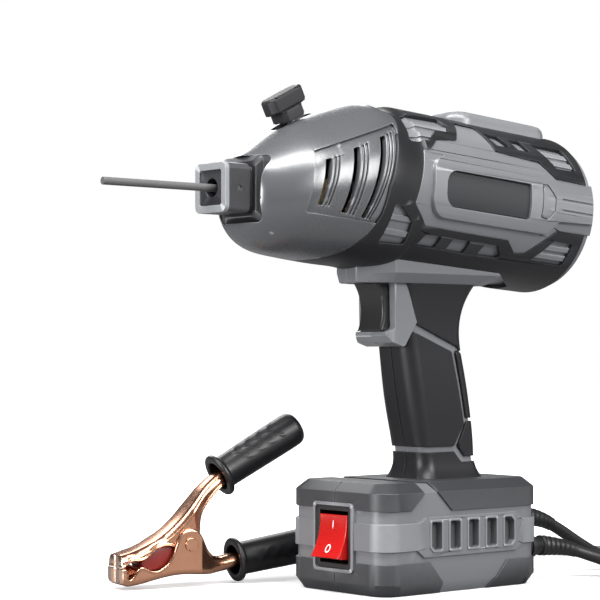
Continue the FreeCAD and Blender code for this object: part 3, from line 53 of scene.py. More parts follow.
# %% Camera
CAMERA_AT = (-0.8661, -0.9189, 0.1442)
CAMERA_LOOKS = (-0.095, 0.0, 0.1772)
LENS_MM = 120.0


def aim(thing, start, target):
    """Turns an object at start so that its -Z points to the target."""
    way = np.array(target, float) - np.array(start, float)
    across = math.hypot(way[0], way[1])
    thing.location = start
    thing.rotation_euler = (math.atan2(across, -way[2]), 0.0, math.atan2(-way[0], way[1]))


camera_data = bpy.data.cameras.new("camera")
camera_data.lens = LENS_MM
camera_data.sensor_width = 36.0
camera = bpy.data.objects.new("camera", camera_data)
bpy.context.scene.collection.objects.link(camera)
aim(camera, CAMERA_AT, CAMERA_LOOKS)
bpy.context.scene.camera = camera
print("camera distance", round(math.dist(CAMERA_AT, CAMERA_LOOKS), 3))

# %% [markdown]
# ## Studio
# A pale floor under a white sky, which lights the object only a little, and
# soft area lights: a key from the near side for the side panel, a long strip
# from above that draws the bright line along the front, and a rim light.

# %% Floor and lights
bpy.context.scene.view_settings.view_transform = "Standard"
FLOOR_REACH = 4.0
FLOOR_DROP = 0.0001
SKY_COLOUR = (0.95, 0.96, 1.0, 1.0)
SKY_STRENGTH = 0.13
WHITE = (1.0, 1.0, 1.0, 1.0)


def mesh_object(name, verts, faces, smooth=True):
    """A new object at the origin from an array of points and one of faces."""
    data = bpy.data.meshes.new(name)
    data.from_pydata(np.asarray(verts, float).tolist(), [], np.asarray(faces).tolist())
    data.polygons.foreach_set("use_smooth", [smooth] * len(data.polygons))
    data.update()
    made = bpy.data.objects.new(name, data)
    bpy.context.scene.collection.objects.link(made)
    return made


def grid_faces(rows, columns, wrap=False):
    """Quads between neighbours of a rows-by-columns grid; wrap joins the ends."""
    i, j = np.meshgrid(np.arange(rows - 1), np.arange(columns if wrap else columns - 1), indexing="ij")
    k = (j + 1) % columns
    quads = np.stack([i * columns + j, i * columns + k, (i + 1) * columns + k, (i + 1) * columns + j], -1)
    return quads.reshape(-1, 4)


def floor_sheet():
    """A flat square far wider than the object, a hair under its feet."""
    corner = np.array([-FLOOR_REACH, FLOOR_REACH])
    x, y = np.meshgrid(corner, corner)
    points = np.stack([x, y, np.full_like(x, -FLOOR_DROP)], -1)
    return mesh_object("floor", points.reshape(-1, 3), grid_faces(2, 2))


floor = floor_sheet()

# name, place, target, width, height, watts
LIGHTS = [
    ("key", (0.25, -1.7, 0.95), (0.0, 0.0, 0.2), 0.8, 0.8, 33.0),
    ("strip", (-0.45, -0.25, 1.2), (-0.05, 0.0, 0.24), 1.6, 0.22, 30.0),
    ("nose_card", (-1.5, 0.1, 0.35), (-0.05, 0.0, 0.10), 0.6, 0.6, 20.0),
    ("fill", (1.3, -0.9, 0.35), (0.0, 0.0, 0.1), 0.8, 0.8, 2.0),
    ("rim", (0.5, 1.3, 1.0), (0.0, 0.0, 0.2), 1.2, 0.5, 12.0),
]
for name, place, target, wide, tall, watts in LIGHTS:
    lamp = bpy.data.lights.new(name, "AREA")
    lamp.shape = "RECTANGLE"
    lamp.size = wide
    lamp.size_y = tall
    lamp.energy = watts
    lamp_object = bpy.data.objects.new(name, lamp)
    bpy.context.scene.collection.objects.link(lamp_object)
    aim(lamp_object, place, target)

world = bpy.data.worlds.new("studio")
bpy.context.scene.world = world
world.use_nodes = True
tree = world.node_tree
background = tree.nodes["Background"]
background.inputs["Color"].default_value = SKY_COLOUR
background.inputs["Strength"].default_value = SKY_STRENGTH
seen = tree.nodes.new("ShaderNodeBackground")
seen.inputs["Color"].default_value = WHITE
path = tree.nodes.new("ShaderNodeLightPath")
choose = tree.nodes.new("ShaderNodeMixShader")
tree.links.new(path.outputs["Is Camera Ray"], choose.inputs[0])
tree.links.new(background.outputs[0], choose.inputs[1])
tree.links.new(seen.outputs[0], choose.inputs[2])
tree.links.new(choose.outputs[0], tree.nodes["World Output"].inputs["Surface"])
print(len(LIGHTS), "lights")

# %% [markdown]
# ## Effects that several finishes share
# Moulded plastic is never one flat colour: a fine spark-eroded grain breaks up
# its gloss, the colour drifts a little, and handling polishes its edges, which
# also get a painted highlight: they are lightened where the surface turns
# outwards. Each of these is one node group with named sockets, built once.

# %% Node groups


def new_group(name, inputs, outputs):
    """A shader node group: inputs and outputs are {socket name: default}."""
    group = bpy.data.node_groups.new(name, "ShaderNodeTree")
    for socket, value in inputs.items():
        made = group.interface.new_socket(socket, in_out="INPUT", socket_type="NodeSocketFloat")
        made.default_value = value
    for socket in outputs:
        group.interface.new_socket(socket, in_out="OUTPUT", socket_type="NodeSocketFloat")
    start = group.nodes.new("NodeGroupInput")
    end = group.nodes.new("NodeGroupOutput")
    return group, start, end


def add(tree, kind, **values):
    """A node of that kind, with properties and input defaults set by name."""
    made = tree.nodes.new(kind)
    for key, value in values.items():
        if key in made.inputs:
            made.inputs[key].default_value = value
        else:
            setattr(made, key, value)
    return made


def maths(tree, operation, a, b, clamp=False):
    """A Math node of two inputs, each a number or a socket."""
    made = tree.nodes.new("ShaderNodeMath")
    made.operation = operation
    made.use_clamp = clamp
    for slot, value in enumerate((a, b)):
        if isinstance(value, (int, float)):
            made.inputs[slot].default_value = value
        else:
            tree.links.new(value, made.inputs[slot])
    return made.outputs[0]


def grain_group():
    """Grain: fine noise for height and gloss, broad noise for shade."""
    group, start, end = new_group(
        "grain",
        {"Fine Scale": 1800.0, "Broad Scale": 22.0, "Shade Drift": 0.06, "Gloss": 0.5, "Gloss Drift": 0.08},
        ["Shade", "Roughness", "Height"],
    )
    place = add(group, "ShaderNodeTexCoord")
    fine = add(group, "ShaderNodeTexNoise", Detail=2.0, Roughness=0.6)
    broad = add(group, "ShaderNodeTexNoise", Detail=4.0, Roughness=0.55)
    group.links.new(place.outputs["Object"], fine.inputs["Vector"])
    group.links.new(place.outputs["Object"], broad.inputs["Vector"])
    group.links.new(start.outputs["Fine Scale"], fine.inputs["Scale"])
    group.links.new(start.outputs["Broad Scale"], broad.inputs["Scale"])
    centred = maths(group, "SUBTRACT", broad.outputs["Fac"], 0.5)
    drift = maths(group, "MULTIPLY", centred, start.outputs["Shade Drift"])
    shade = maths(group, "ADD", maths(group, "MULTIPLY", drift, 2.0), 1.0)
    group.links.new(shade, end.inputs["Shade"])
    gloss = maths(group, "MULTIPLY", centred, start.outputs["Gloss Drift"])
    fine_centred = maths(group, "SUBTRACT", fine.outputs["Fac"], 0.5)
    sparkle = maths(group, "MULTIPLY", fine_centred, start.outputs["Gloss Drift"])
    change = maths(group, "ADD", maths(group, "MULTIPLY", gloss, 2.0), sparkle)
    total = maths(group, "ADD", start.outputs["Gloss"], change)
    group.links.new(total, end.inputs["Roughness"])
    group.links.new(fine.outputs["Fac"], end.inputs["Height"])
    return group


def worn_and_highlit_edge_group():
    """Edge: how far the surface turns outwards, broken up by noise. It lightens the edges, both as wear and
    as a painted highlight.
    """
    group, start, end = new_group("worn_and_highlit_edge", {"From": 0.52, "To": 0.60, "Break Up": 0.5}, ["Edge"])
    place = add(group, "ShaderNodeTexCoord")
    shape = add(group, "ShaderNodeNewGeometry")
    noise = add(group, "ShaderNodeTexNoise", Scale=260.0, Detail=3.0)
    group.links.new(place.outputs["Object"], noise.inputs["Vector"])
    ramp = add(group, "ShaderNodeMapRange")
    group.links.new(shape.outputs["Pointiness"], ramp.inputs["Value"])
    group.links.new(start.outputs["From"], ramp.inputs["From Min"])
    group.links.new(start.outputs["To"], ramp.inputs["From Max"])
    noise_centred = maths(group, "SUBTRACT", noise.outputs["Fac"], 0.5)
    broken = maths(group, "MULTIPLY", noise_centred, start.outputs["Break Up"])
    # how much of the lighter edge colour to use: wear plus a painted highlight
    edge = maths(group, "MULTIPLY", ramp.outputs["Result"], maths(group, "ADD", broken, 0.85), True)
    group.links.new(edge, end.inputs["Edge"])
    return group


GRAIN = grain_group()
WORN_AND_HIGHLIT_EDGE = worn_and_highlit_edge_group()
print("groups", GRAIN.name, WORN_AND_HIGHLIT_EDGE.name)

# %% [markdown]
# ## Finishes
# One function makes a moulded finish from its colour, gloss, grain and worn
# edge, with a painted highlight on that edge; metals are the same with
# Metallic at one. The floor's paper and the gridded red rocker have a function
# of their own.

# %% A moulded finish


def use_group(tree, group, **values):
    """A group node with some inputs set; an underscore stands for a space."""
    made = tree.nodes.new("ShaderNodeGroup")
    made.node_tree = group
    for key, value in values.items():
        made.inputs[key.replace("_", " ")].default_value = value
    return made


def blank_material(name):
    """A new material, its node tree and its Principled surface."""
    made = bpy.data.materials.new(name)
    made.use_nodes = True
    tree = made.node_tree
    return made, tree, tree.nodes["Principled BSDF"]


def mix_colour(tree, factor, a, b, blend="MIX"):
    """A colour mix; factor, a and b are values or sockets."""
    made = tree.nodes.new("ShaderNodeMix")
    made.data_type = "RGBA"
    made.blend_type = blend
    for slot, value in ((0, factor), (6, a), (7, b)):
        if hasattr(value, "links") or hasattr(value, "is_output"):
            tree.links.new(value, made.inputs[slot])
        elif isinstance(value, (int, float)):
            made.inputs[slot].default_value = value
        else:
            made.inputs[slot].default_value = (*value, 1.0)
    return made.outputs[2]


def shaded(tree, colour, shade):
    """A colour made lighter or darker by a shade near one."""
    grey = tree.nodes.new("ShaderNodeCombineColor")
    for channel in ("Red", "Green", "Blue"):
        tree.links.new(shade, grey.inputs[channel])
    return mix_colour(tree, 1.0, colour, grey.outputs["Color"], "MULTIPLY")


def add_bump(tree, surface, height, strength, distance):
    """Tilts the surface's normal by a height."""
    bump = add(tree, "ShaderNodeBump", Strength=strength, Distance=distance)
    tree.links.new(height, bump.inputs["Height"])
    tree.links.new(bump.outputs["Normal"], surface.inputs["Normal"])


GRAIN_BUMP = 0.35
COAT_GLOSS = 0.25


def moulded(name, colour, worn_and_highlit_edge_colour, gloss, fine=1800.0, depth=0.00004, **more):
    """A moulded or plated finish, with its grain and polished edges; the edges are lightened both as wear
    and as a painted highlight.

    more may set drift, coat, level (the specular level) and metal."""
    drift = more.get("drift", 0.06)
    made, tree, surface = blank_material(name)
    grain = use_group(tree, GRAIN, Fine_Scale=fine, Gloss=gloss, Shade_Drift=drift)
    edge = use_group(tree, WORN_AND_HIGHLIT_EDGE)
    base = shaded(tree, colour, grain.outputs["Shade"])
    # outward edges mix towards the lighter edge colour: wear plus a painted highlight
    tree.links.new(mix_colour(tree, edge.outputs["Edge"], base, worn_and_highlit_edge_colour), surface.inputs["Base Color"])
    tree.links.new(grain.outputs["Roughness"], surface.inputs["Roughness"])
    surface.inputs["Specular IOR Level"].default_value = more.get("level", 0.5)
    surface.inputs["Metallic"].default_value = more.get("metal", 0.0)
    surface.inputs["Coat Weight"].default_value = more.get("coat", 0.0)
    surface.inputs["Coat Roughness"].default_value = COAT_GLOSS
    add_bump(tree, surface, grain.outputs["Height"], GRAIN_BUMP, depth)
    return made


# Each finish's second colour is its edge colour: wear plus a painted highlight.
GREY = moulded(
    "grey_shell", (0.150, 0.153, 0.162), (0.42, 0.43, 0.45),
    0.34, drift=0.03, level=0.6, coat=0.15,
)
HOUSING = moulded(
    "housing_grey", (0.070, 0.072, 0.077), (0.30, 0.305, 0.32),
    0.27, drift=0.03, level=0.7, coat=0.35,
)
LIGHT_GREY = moulded("light_grey", (0.19, 0.195, 0.205), (0.5, 0.51, 0.53), 0.36, level=0.6)
ARMOUR = moulded(
    "dark_armour", (0.011, 0.0112, 0.0125), (0.10, 0.102, 0.11),
    0.40, fine=1300.0, depth=0.00005, level=0.4,
)
GRIP = moulded(
    "grip_rubber", (0.008, 0.008, 0.0095), (0.05, 0.05, 0.055),
    0.42, fine=900.0, depth=0.00007, level=0.42,
)
BLACK = moulded("black_plastic", (0.014, 0.014, 0.015), (0.09, 0.09, 0.095), 0.38)
NOSE = moulded("nose_black", (0.022, 0.022, 0.025), (0.20, 0.20, 0.21), 0.32, fine=2200.0)
CABLE = moulded("cable_jacket", (0.010, 0.010, 0.011), (0.03, 0.03, 0.03), 0.42, fine=500.0)
SLEEVE = moulded(
    "dipped_vinyl", (0.006, 0.006, 0.0072), (0.04, 0.04, 0.045),
    0.40, fine=700.0, depth=0.0001,
)
STEEL = moulded("zinc_steel", (0.52, 0.53, 0.55), (0.75, 0.75, 0.76), 0.32, metal=1.0)
BRASS = moulded("turned_brass", (0.62, 0.44, 0.18), (0.8, 0.62, 0.35), 0.30, metal=1.0)
ALUMINIUM = moulded("extruded_aluminium", (0.55, 0.56, 0.58), (0.75, 0.75, 0.77), 0.36, metal=1.0)
BUMPER = moulded("bumper", (0.034, 0.035, 0.038), (0.15, 0.152, 0.16), 0.42, fine=1300.0, depth=0.00006)
KNOB = moulded(
    "knob_plastic", (0.016, 0.016, 0.018), (0.05, 0.05, 0.055),
    0.55, fine=900.0, depth=0.00002, level=0.35,
)
BOARD = moulded("board_green", (0.02, 0.13, 0.055), (0.1, 0.3, 0.15), 0.35)
CAN = moulded("capacitor_sleeve", (0.02, 0.035, 0.11), (0.2, 0.22, 0.3), 0.28)
PLATE = moulded("name_plate", (0.022, 0.023, 0.025), (0.08, 0.08, 0.09), 0.34, fine=2600.0)
COPPER = moulded(
    "copper_plate", (0.60, 0.305, 0.19), (0.92, 0.64, 0.48),
    0.21, fine=260.0, drift=0.14, metal=1.0,
)
FLUX = moulded(
    "rod_flux", (0.075, 0.075, 0.077), (0.2, 0.2, 0.2),
    0.7, fine=700.0, depth=0.00015, drift=0.15,
)
SCREEN = moulded("display_glass", (0.006, 0.007, 0.009), (0.02, 0.02, 0.02), 0.08, coat=1.0)
# dark red of the clamp's oval pad: painted shade for the copper inside the other lever, seen through the
# hole
PAINTED_SHADE_RED = moulded("painted_shade_red", (0.20, 0.012, 0.008), (0.3, 0.03, 0.02), 0.4, fine=900.0)
PRINT = moulded("white_print", (0.85, 0.85, 0.85), (0.9, 0.9, 0.9), 0.4)


def studio_paper():
    """White paper: it fades to pure white away from the object, and throws
    back only a little light on to it."""
    made, tree, surface = blank_material("studio_paper")
    grain = use_group(tree, GRAIN, Fine_Scale=900.0, Gloss=0.75, Shade_Drift=0.02)
    path = add(tree, "ShaderNodeLightPath")
    pale = shaded(tree, (0.90, 0.90, 0.905), grain.outputs["Shade"])
    thrown = mix_colour(tree, path.outputs["Is Camera Ray"], (0.22, 0.22, 0.225), pale)
    tree.links.new(thrown, surface.inputs["Base Color"])
    tree.links.new(grain.outputs["Roughness"], surface.inputs["Roughness"])
    place = add(tree, "ShaderNodeTexCoord")
    away = add(tree, "ShaderNodeVectorMath", operation="LENGTH")
    tree.links.new(place.outputs["Object"], away.inputs[0])
    fade = add(tree, "ShaderNodeMapRange", interpolation_type="SMOOTHSTEP")
    tree.links.new(away.outputs["Value"], fade.inputs["Value"])
    for socket, value in {"From Min": 0.15, "From Max": 0.75, "To Min": 0.30, "To Max": 1.0}.items():
        fade.inputs[socket].default_value = value
    surface.inputs["Emission Color"].default_value = WHITE
    glow = maths(tree, "MULTIPLY", fade.outputs[0], path.outputs["Is Camera Ray"])
    tree.links.new(glow, surface.inputs["Emission Strength"])
    return made


floor.data.materials.append(studio_paper())


GRID_PITCH = 0.0011
GRID_LINE = 0.72


def gridded_red():
    """Clear red plastic over a fine square grid moulded into its back."""
    made, tree, surface = blank_material("rocker_red")
    place = add(tree, "ShaderNodeTexCoord")
    apart = add(tree, "ShaderNodeSeparateXYZ")
    tree.links.new(place.outputs["Object"], apart.inputs[0])
    turn_rate = 2 * math.pi / GRID_PITCH
    waves = []
    for axis in ("Y", "Z"):
        waves.append(maths(tree, "SINE", maths(tree, "MULTIPLY", apart.outputs[axis], turn_rate), 0.0))
    grid = maths(tree, "MAXIMUM", waves[0], waves[1])
    mask = maths(tree, "GREATER_THAN", grid, GRID_LINE)
    colour = mix_colour(tree, mask, (0.56, 0.008, 0.006), (0.30, 0.003, 0.003))
    grain = use_group(tree, GRAIN, Fine_Scale=900.0, Gloss=0.2, Shade_Drift=0.1)
    tree.links.new(shaded(tree, colour, grain.outputs["Shade"]), surface.inputs["Base Color"])
    tree.links.new(grain.outputs["Roughness"], surface.inputs["Roughness"])
    surface.inputs["Coat Weight"].default_value = 0.6
    surface.inputs["Coat Roughness"].default_value = 0.12
    add_bump(tree, surface, grid, 0.25, 0.0001)
    return made


RED = gridded_red()
print(len(bpy.data.materials), "materials")

# %% [markdown]
# ## Finishing the rigid pieces
# Moulded and stamped pieces have no knife edges. Each CAD piece keeps its mesh;
# a Weld joins its loose triangles, and a small Bevel rounds what is sharp.

# %% Finish and edge radius of each CAD node
WELD_REACH = 0.00001
BEVEL_ANGLE = math.radians(35)
SPLIT_ANGLE = math.radians(32)
# finish, edge radius in metres, nodes
FINISHES = [
    (GREY, 0.0003, "left_shell right_shell side_panel_left side_panel_right control_cover"),
    (HOUSING, 0.0003, "front_housing"),
    (LIGHT_GREY, 0.0003, "nose_bezel"),
    (ARMOUR, 0.0003, "armour_left armour_right"),
    (BUMPER, 0.0003, "upper_bumper_front upper_bumper_rear lower_bumper_front lower_bumper_rear"),
    (GRIP, 0.0003, "palm_grip main_grip_left main_grip_right rear_grip foot_grip"),
    (NOSE, 0.0003, "nose_block"),
    (KNOB, 0.0006, "clamp_knob"),
    (BLACK, 0.0006, "trigger"),
    (BLACK, 0.0004, "switch_frame rear_grille button_minus button_plus"),
    (BLACK, 0.0, "switch_body fan_frame trigger_switch vent_liner_left vent_liner_right nose_screws"),
    (BLACK, 0.0003, "fan_rotor"),
    (PLATE, 0.0003, "name_plate_left name_plate_right"),
    (RED, 0.0006, "rocker"),
    (SCREEN, 0.0002, "display_window"),
    (COPPER, 0.0003, "clamp_pivot"),
    (BRASS, 0.0003, "rod_holder"),
    (STEEL, 0.0002, "clamp_screw"),
    (STEEL, 0.0, "clamp_plunger trigger_spring clamp_spring transformer"),
    (BLACK, 0.0002, "shell_screws"),
    (FLUX, 0.0002, "welding_rod"),
    (BOARD, 0.0, "circuit_board"),
    (ALUMINIUM, 0.0, "heat_sink"),
    (CAN, 0.0004, "capacitors"),
    (CABLE, 0.0006, "mains_plug"),
    (CABLE, 0.0004, "mains_gland ground_gland"),
]


def finish_node(name, material, radius):
    """Puts a finish on a CAD node and rounds its sharp edges."""
    piece = nodes[name]
    piece.data.materials.clear()
    piece.data.materials.append(material)
    piece.data.polygons.foreach_set("use_smooth", [True] * len(piece.data.polygons))
    weld = piece.modifiers.new("weld", "WELD")
    weld.merge_threshold = WELD_REACH
    if radius > 0:
        bevel = piece.modifiers.new("round", "BEVEL")
        bevel.width = radius
        bevel.segments = 2
        bevel.limit_method = "ANGLE"
        bevel.angle_limit = BEVEL_ANGLE
        bevel.use_clamp_overlap = False
        weigh = piece.modifiers.new("even", "WEIGHTED_NORMAL")
        weigh.weight = 100
        weigh.keep_sharp = False
    else:
        split = piece.modifiers.new("edges", "EDGE_SPLIT")
        split.split_angle = SPLIT_ANGLE


finished = 0
for material, radius, names in FINISHES:
    for name in names.split():
        finish_node(name, material, radius)
        finished += 1
print(finished, "rigid pieces finished")

# %% [markdown]
# ## Leads
# A lead is a fixed length of rubber. Each is one smooth spline: chosen points
# along the floor, then the turns of its coil worked out by a loop. Every turn
# keeps its radius and height, and slides to the next in its last fifth.

# %% The turns of a coil
MM = 0.001
LEAD_DIAMETER = 0.008
POINTS_A_TURN = 16
SLIDE = 0.2


def coil_turns(centre, start_angle, turns, rows):
    """Points round a centre: the angle grows evenly, and radius and height
    ease from each row's (radius, height) to the next one's.

    rows holds one (radius, height) for each turn, in millimetres."""
    count = int(round(turns * POINTS_A_TURN))
    place = (np.arange(count) + 1) / POINTS_A_TURN
    at = np.minimum(place.astype(int), len(rows) - 1)
    share = np.clip((place - at - (1 - SLIDE)) / SLIDE, 0.0, 1.0)
    ease = share * share * (3 - 2 * share)
    table = np.array(rows + [rows[-1]], float)
    both = table[at] * (1 - ease[:, None]) + table[at + 1] * ease[:, None]
    angle = math.radians(start_angle) + 2 * math.pi * place
    spread = both[:, 0] / math.cos(math.pi / POINTS_A_TURN)
    x = centre[0] + spread * np.cos(angle)
    y = centre[1] + spread * np.sin(angle)
    return np.stack([x, y, both[:, 1]], -1)


def lead_curve(name, points):
    """A round lead along a spline with these points, given in millimetres."""
    curve = bpy.data.curves.new(name, "CURVE")
    curve.dimensions = "3D"
    spline = curve.splines.new("NURBS")
    spline.points.add(len(points) - 1)
    four = np.concatenate([np.asarray(points, float) * MM, np.ones((len(points), 1))], -1)
    spline.points.foreach_set("co", four.ravel())
    spline.order_u = 3
    spline.use_endpoint_u = True
    curve.resolution_u = 6
    curve.bevel_depth = LEAD_DIAMETER / 2
    curve.bevel_resolution = 4
    curve.use_fill_caps = True
    made = bpy.data.objects.new(name, curve)
    bpy.context.scene.collection.objects.link(made)
    made.data.materials.append(CABLE)
    return made


# %% The two leads
MAINS_EXIT = (80.3, -30.0, 22.0)
MAINS_RUN = [
    MAINS_EXIT,
    (99.0, -31.5, 20.8),
    (117.0, -39.5, 14.5),
    (130.0, -54.0, 8.0),
    (136.0, -73.5, 4.4),
    (136.5, -92.0, 4.3),
]
MAINS_COIL = (178.5, -92.0)
MAINS_ROWS = [(42, 4.3), (34, 4.3), (34, 12.3), (42, 12.3), (42, 20.3)]
PLUG_END = (216.5, -100.0, 33.5)
mains_turns = coil_turns(MAINS_COIL, 180.0, 5.0, MAINS_ROWS)
MAINS_RISE = [
    (137.2, -104.0, 21.0),
    (143.0, -117.5, 22.6),
    (153.6, -127.6, 25.0),
    (167.0, -132.8, 28.0),
    (181.5, -133.0, 30.6),
    (195.0, -128.0, 32.6),
    (206.5, -118.5, 33.5),
    (213.5, -108.0, 33.5),
    PLUG_END,
]
mains_points = np.concatenate([MAINS_RUN, mains_turns, MAINS_RISE])
mains_lead = lead_curve("mains_lead", mains_points)

GROUND_EXIT = (80.3, -12.0, 40.0)
GROUND_RUN = [
    GROUND_EXIT,
    (98.0, -12.5, 38.3),
    (116.0, -14.5, 29.5),
    (134.0, -17.0, 18.5),
    (154.0, -18.5, 9.0),
    (176.0, -16.0, 4.5),
    (198.5, -3.0, 4.3),
    (213.0, 18.6, 4.3),
    (216.7, 44.3, 4.3),
    (208.2, 68.9, 4.3),
    (187.4, 90.5, 4.3),
    (165.0, 113.0, 4.3),
    (141.7, 135.7, 4.3),
]
GROUND_COIL = (112.0, 106.0)
GROUND_ROWS = [(42, 4.3), (34, 4.3), (34, 12.3), (42, 12.3)]
CLAMP_RUN = [
    (66.5, 107.5, 8.0),
    (55.5, 89.5, 5.2),
    (40.0, 76.0, 8.8),
    (21.5, 68.2, 15.5),
    (1.1, 67.1, 21.7),
    (-18.3, 71.0, 23.2),
]
ground_turns = coil_turns(GROUND_COIL, 45.0, 3.3, GROUND_ROWS)
ground_lead = lead_curve("ground_lead", np.concatenate([GROUND_RUN, ground_turns, CLAMP_RUN]))
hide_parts("mains_cord", "mains_coil")
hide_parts("ground_cable", "ground_coil", "clamp_cable")


def centre_line(lead):
    """Points read from a lead's spline, with no thickness."""
    depth = lead.data.bevel_depth
    lead.data.bevel_depth = 0.0
    graph = bpy.context.evaluated_depsgraph_get()
    graph.update()
    line = bpy.data.meshes.new_from_object(lead.evaluated_get(graph))
    points = np.empty(len(line.vertices) * 3)
    line.vertices.foreach_get("co", points)
    bpy.data.meshes.remove(line)
    lead.data.bevel_depth = depth
    return points.reshape(-1, 3)


def path_length(points):
    """The length along a row of points."""
    return float(np.linalg.norm(np.diff(points, axis=0), axis=1).sum())


mains_line = centre_line(mains_lead)
ground_line = centre_line(ground_lead)
for line_name, line in (("mains", mains_line), ("ground", ground_line)):
    print(line_name, "lead", round(path_length(line), 3), "m")

# %% [markdown]
# ## Strain reliefs
# Where a lead leaves a gland or enters its plug, a tapered rubber boot spreads
# the bend. Its rings are a wave on the radius of a tube round the lead's line.

# %% Tapered boots
AROUND = 32
BOOT_LENGTH = 0.030
BOOT_RADIUS = 6.6
BOOT_TAPER = 2.2
BOOT_RING = 0.35
BOOT_RINGS = 7


def tube_round(name, path, reach, radius_at, rows=90):
    """A tube round the first stretch of a path.

    The path is resampled evenly up to reach; each ring is a circle across
    the path's direction, with radius_at(share of the reach)."""
    step = np.linalg.norm(np.diff(path, axis=0), axis=1)
    run = np.concatenate([[0.0], np.cumsum(step)])
    share = np.linspace(0.0, 1.0, rows)
    centre = np.stack([np.interp(share * reach, run, path[:, k]) for k in range(3)], -1)
    ahead = np.gradient(centre, axis=0)
    ahead /= np.linalg.norm(ahead, axis=1)[:, None]
    side = np.cross(ahead, [0.0, 0.0, 1.0])
    side /= np.linalg.norm(side, axis=1)[:, None]
    up = np.cross(side, ahead)
    angle = np.linspace(0, 2 * math.pi, AROUND, endpoint=False)
    radius = radius_at(share)[:, None, None]
    ring = np.cos(angle)[None, :, None] * side[:, None] + np.sin(angle)[None, :, None] * up[:, None]
    points = centre[:, None] + radius * ring
    faces = grid_faces(rows, AROUND, wrap=True)[:, ::-1]
    return mesh_object(name, points.reshape(-1, 3), faces)


def boot_radius(share):
    """A taper towards the lead, with soft rings that fade along it.

    The first and last rows come in to the lead, which closes the ends."""
    taper = BOOT_RADIUS - BOOT_TAPER * share
    rings = BOOT_RING * np.cos(share * 2 * math.pi * BOOT_RINGS) * (1 - share) * (share > 0.06)
    closed = np.where(share < 0.01, 4.05, taper + rings)
    return np.where(share > 0.99, 4.02, closed) * MM


boots = {}
for name, line in (("mains", mains_line), ("ground", ground_line), ("plug", mains_line[::-1])):
    boot = tube_round(name + "_boot", line, BOOT_LENGTH, boot_radius)
    boot.data.materials.append(CABLE)
    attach(boot, "gun")
    boots[name] = boot

for lead, line, exit_point, end, pieces in (
    (mains_lead, mains_line, MAINS_EXIT, "plug", [boots["mains"], boots["plug"], nodes["mains_plug"]]),
    (ground_lead, ground_line, GROUND_EXIT, "object", [boots["ground"]]),
):
    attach(lead, "gun")

# %% [markdown]
# ## Ground clamp
# Each lever is one bent sheet of copper-plated steel: a rounded back and two
# cheeks. It is worked out from two matched edge lines, one along the back and
# one along the cheeks' rim, with a U-shaped section between them.

# %% The clamp's own frame
CLAMP_TURN = math.radians(-11.5)
CLAMP_AT = np.array([-151.0, 98.0, 0.0])


def from_clamp(points):
    """Clamp millimetres (along, across, up) to the object's metres."""
    points = np.asarray(points, float)
    c, s = math.cos(CLAMP_TURN), math.sin(CLAMP_TURN)
    x = points[..., 0] * c - points[..., 1] * s
    y = points[..., 0] * s + points[..., 1] * c
    return (np.stack([x, y, points[..., 2]], -1) + CLAMP_AT) * MM


def smooth_line(points, count):
    """A smooth curve through points: a Catmull-Rom spline, sampled evenly."""
    points = np.asarray(points, float)
    padded = np.concatenate([2 * points[:1] - points[1:2], points, 2 * points[-1:] - points[-2:-1]])
    place = np.linspace(0, len(points) - 1.000001, count)
    i = place.astype(int)
    t = (place - i)[:, None]
    a, b, c, d = padded[i], padded[i + 1], padded[i + 2], padded[i + 3]
    return 0.5 * (2 * b + (c - a) * t + (2 * a - 5 * b + 4 * c - d) * t**2 + (3 * b - a - 3 * c + d) * t**3)


# %% A lever from its two edge lines
CORNER_STEPS = 8
CHEEK_STEPS = 14
SHEET = 0.0014
BEAD_HEIGHT = 0.55
BEAD_WIDTH = 0.7
INSIDE = 8.0
CLOSE_OVER = 0.09


def face_out(made, centres, columns):
    """Turns a grid's faces over if most of them look at the row centres."""
    faces = len(made.data.polygons)
    normals = np.empty(faces * 3)
    middles = np.empty(faces * 3)
    made.data.polygons.foreach_get("normal", normals)
    made.data.polygons.foreach_get("center", middles)
    row = np.arange(faces) // (columns - 1)
    away = middles.reshape(-1, 3) - centres[np.minimum(row, len(centres) - 1)]
    if (normals.reshape(-1, 3) * away).sum() < 0:
        made.data.flip_normals()


def even(values, spread):
    """Values smoothed along the rows by a bell-shaped weight; ends stay."""
    reach = int(3 * spread)
    weight = np.exp(-0.5 * (np.arange(-reach, reach + 1) / spread) ** 2)
    weight /= weight.sum()
    head = 2 * values[:1] - values[1:reach + 1][::-1]
    tail = 2 * values[-1:] - values[-reach - 1:-1][::-1]
    padded = np.concatenate([head, values, tail])
    return np.stack([np.convolve(padded[:, k], weight, "valid") for k in range(values.shape[1])], -1)


